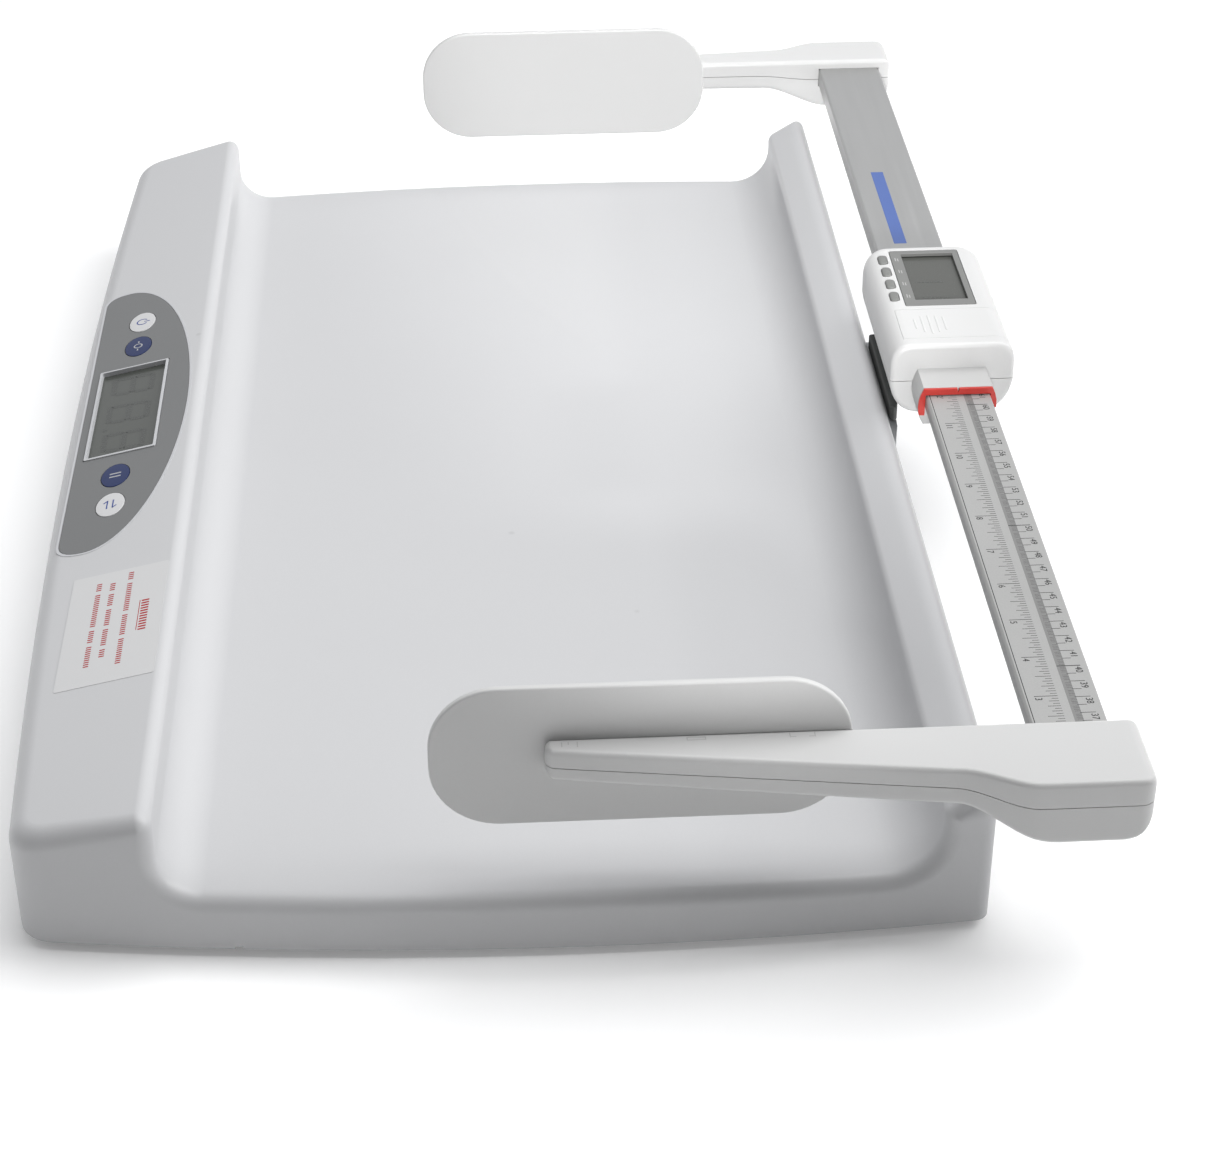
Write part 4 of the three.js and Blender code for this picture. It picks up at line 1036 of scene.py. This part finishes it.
def ruler_ticks():
    """Centimetre ticks on one side of the band, inch ticks on the other, and the line along the inch side."""
    boxes = []
    for n in range(34, 71):
        x = CM_60_X + (60 - n) * 10
        if n % 10 == 0:
            boxes.append((x - 0.20, x + 0.20, 169.6, 178.6))
        else:
            boxes.append((x - 0.13, x + 0.13, 172.4, 178.3))
        if n < 70:
            boxes.append((x - 5 - 0.12, x - 5 + 0.12, 172.4, 176.0))
            boxes += [(x - d - 0.05, x - d + 0.05, 170.6, 172.9) for d in (1, 2, 3, 4, 6, 7, 8, 9)]
    lengths = {0: 8.8, 8: 6.0, 4: 4.8, 12: 4.8}
    for sixteenth in range(14 * 16, 27 * 16 + 1):
        x = CM_60_X + (60 - sixteenth / 16 * 2.54) * 10
        reach = lengths.get(sixteenth % 16, 3.8 if sixteenth % 2 == 0 else 2.5)
        width = 0.13 if sixteenth % 16 == 0 else 0.10
        boxes.append((x - width, x + width, 166.2 - reach, 166.2))
    boxes.append((-83, 330, 154.45, 154.75))
    return boxes


def numerals(name, labels, low, high):
    """Figures as one flat mesh. Each label is (text, x, y, height) with x, y its lower left corner."""
    whole = bmesh.new()
    for text, x, y, height in labels:
        curve = bpy.data.curves.new("figure", "FONT")
        curve.body = text
        curve.size = height / 0.7 * MM
        curve.extrude = (high - low) / 2 * MM
        obj = bpy.data.objects.new("figure", curve)
        bpy.context.scene.collection.objects.link(obj)
        obj.location = row((x, y, (low + high) / 2))
        bpy.context.view_layer.update()
        mesh = bpy.data.meshes.new_from_object(obj.evaluated_get(bpy.context.evaluated_depsgraph_get()))
        mesh.transform(obj.matrix_world)
        whole.from_mesh(mesh)
        bpy.data.objects.remove(obj)
        bpy.data.meshes.remove(mesh)
    bmesh.ops.remove_doubles(whole, verts=whole.verts, dist=1e-7)
    mesh = bpy.data.meshes.new(name)
    whole.to_mesh(mesh)
    whole.free()
    obj = bpy.data.objects.new(name, mesh)
    bpy.context.scene.collection.objects.link(obj)
    return obj


cm_labels = [(str(n), CM_60_X + (60 - n) * 10 + 0.8, 176.3, 2.7) for n in range(35, 70)]
inch_labels = []
for inch in range(14, 27):
    x = CM_60_X + (60 - inch * 2.54) * 10 + 0.8
    text = "2'" if inch == 24 else str(inch % 12)
    inch_labels.append((text, x, 157.6, 2.7))
piece(bars("ruler_band", [(-83, 330, 169.5, 172.9)], RULER_TOP - 0.02, RULER_TOP + 0.01), BAND, "foot_slide")
piece(bars("ruler_ticks", ruler_ticks(), RULER_TOP - 0.02, RULER_TOP + 0.03), INK_DARK, "foot_slide")
piece(numerals("ruler_figures", cm_labels + inch_labels, RULER_TOP - 0.02, RULER_TOP + 0.03), INK_DARK, "foot_slide")


# ---------------------------------------------------------------- studio
def area_light(name, place, target, size, power, spread=180):
    """A soft rectangular light in metres and watts; spread in degrees narrows its beam."""
    data = bpy.data.lights.new(name, "AREA")
    data.shape = "RECTANGLE"
    data.size, data.size_y = size
    data.energy = power
    data.spread = math.radians(spread)
    obj = bpy.data.objects.new(name, data)
    obj.location = place
    obj.rotation_euler = (Vector(target) - Vector(place)).to_track_quat("-Z", "Y").to_euler()
    bpy.context.scene.collection.objects.link(obj)


def studio():
    """A pale floor, a soft key light, a low side light along the console and a spot on the head end."""
    half = 6
    ground = bpy.data.meshes.new("studio_floor")
    ground.from_pydata([(-half, -half, 0), (half, -half, 0), (half, half, 0), (-half, half, 0)], [], [(0, 1, 2, 3)])
    ground.materials.append(FLOOR)
    floor = bpy.data.objects.new("studio_floor", ground)
    bpy.context.scene.collection.objects.link(floor)
    world = bpy.data.worlds.new("studio")
    bpy.context.scene.world = world
    world.use_nodes = True
    tree = world.node_tree
    sky = tree.nodes["Background"]
    side = node_of(tree, "ShaderNodeTexCoord")
    split = node_of(tree, "ShaderNodeSeparateXYZ")
    tree.links.new(side.outputs["Generated"], split.inputs["Vector"])
    fade = node_of(tree, "ShaderNodeMapRange")
    fade.inputs["From Min"].default_value = 0.6
    fade.inputs["From Max"].default_value = -0.9
    fade.inputs["To Min"].default_value = 0.14
    fade.inputs["To Max"].default_value = 0.95
    tree.links.new(split.outputs["X"], fade.inputs["Value"])
    tree.links.new(fade.outputs["Result"], sky.inputs["Strength"])
    sky.inputs["Color"].default_value = (0.97, 0.98, 1.0, 1)
    area_light("key", (-0.05, 0.65, 1.40), (0, -0.05, 0), (1.3, 2.0), 27)
    area_light("side", (-0.04, 0.62, 0.40), (-0.06, -0.14, 0.045), (0.75, 0.20), 0.15, 14)
    spot = bpy.data.lights.new("front", "SPOT")
    spot.energy = 60
    spot.spot_size = math.radians(19)
    spot.spot_blend = 0.6
    spot.shadow_soft_size = 0.06
    beam = bpy.data.objects.new("front", spot)
    beam.location = (1.0, 0.05, 0.40)
    beam.rotation_euler = (Vector((-0.32, 0.10, 0.10)) - beam.location).to_track_quat("-Z", "Y").to_euler()
    bpy.context.scene.collection.objects.link(beam)


def camera():
    """The photograph's viewpoint: above the foot end, looking along the tray."""
    yaw, pitch, roll = math.radians(3.289), math.radians(33.253), math.radians(-0.1425)
    ahead = Vector((-math.cos(yaw), math.sin(yaw), 0))
    right = Vector((math.sin(yaw), math.cos(yaw), 0))
    up = Vector((0, 0, 1))
    forward = math.cos(pitch) * ahead - math.sin(pitch) * up
    above = math.sin(pitch) * ahead + math.cos(pitch) * up
    r = math.cos(roll) * right + math.sin(roll) * above
    u = -math.sin(roll) * right + math.cos(roll) * above
    data = bpy.data.cameras.new("camera")
    data.sensor_width = 36
    data.sensor_fit = "HORIZONTAL"
    data.lens = 81.09
    data.clip_start, data.clip_end = 0.01, 50
    obj = bpy.data.objects.new("camera", data)
    turn = Matrix((r, u, -forward)).transposed()
    obj.matrix_world = Matrix.Translation((1.0923, -0.0301, 0.6728)) @ turn.to_4x4()
    bpy.context.scene.collection.objects.link(obj)
    bpy.context.scene.camera = obj


camera()
studio()
bpy.context.scene.view_settings.view_transform = "Standard"
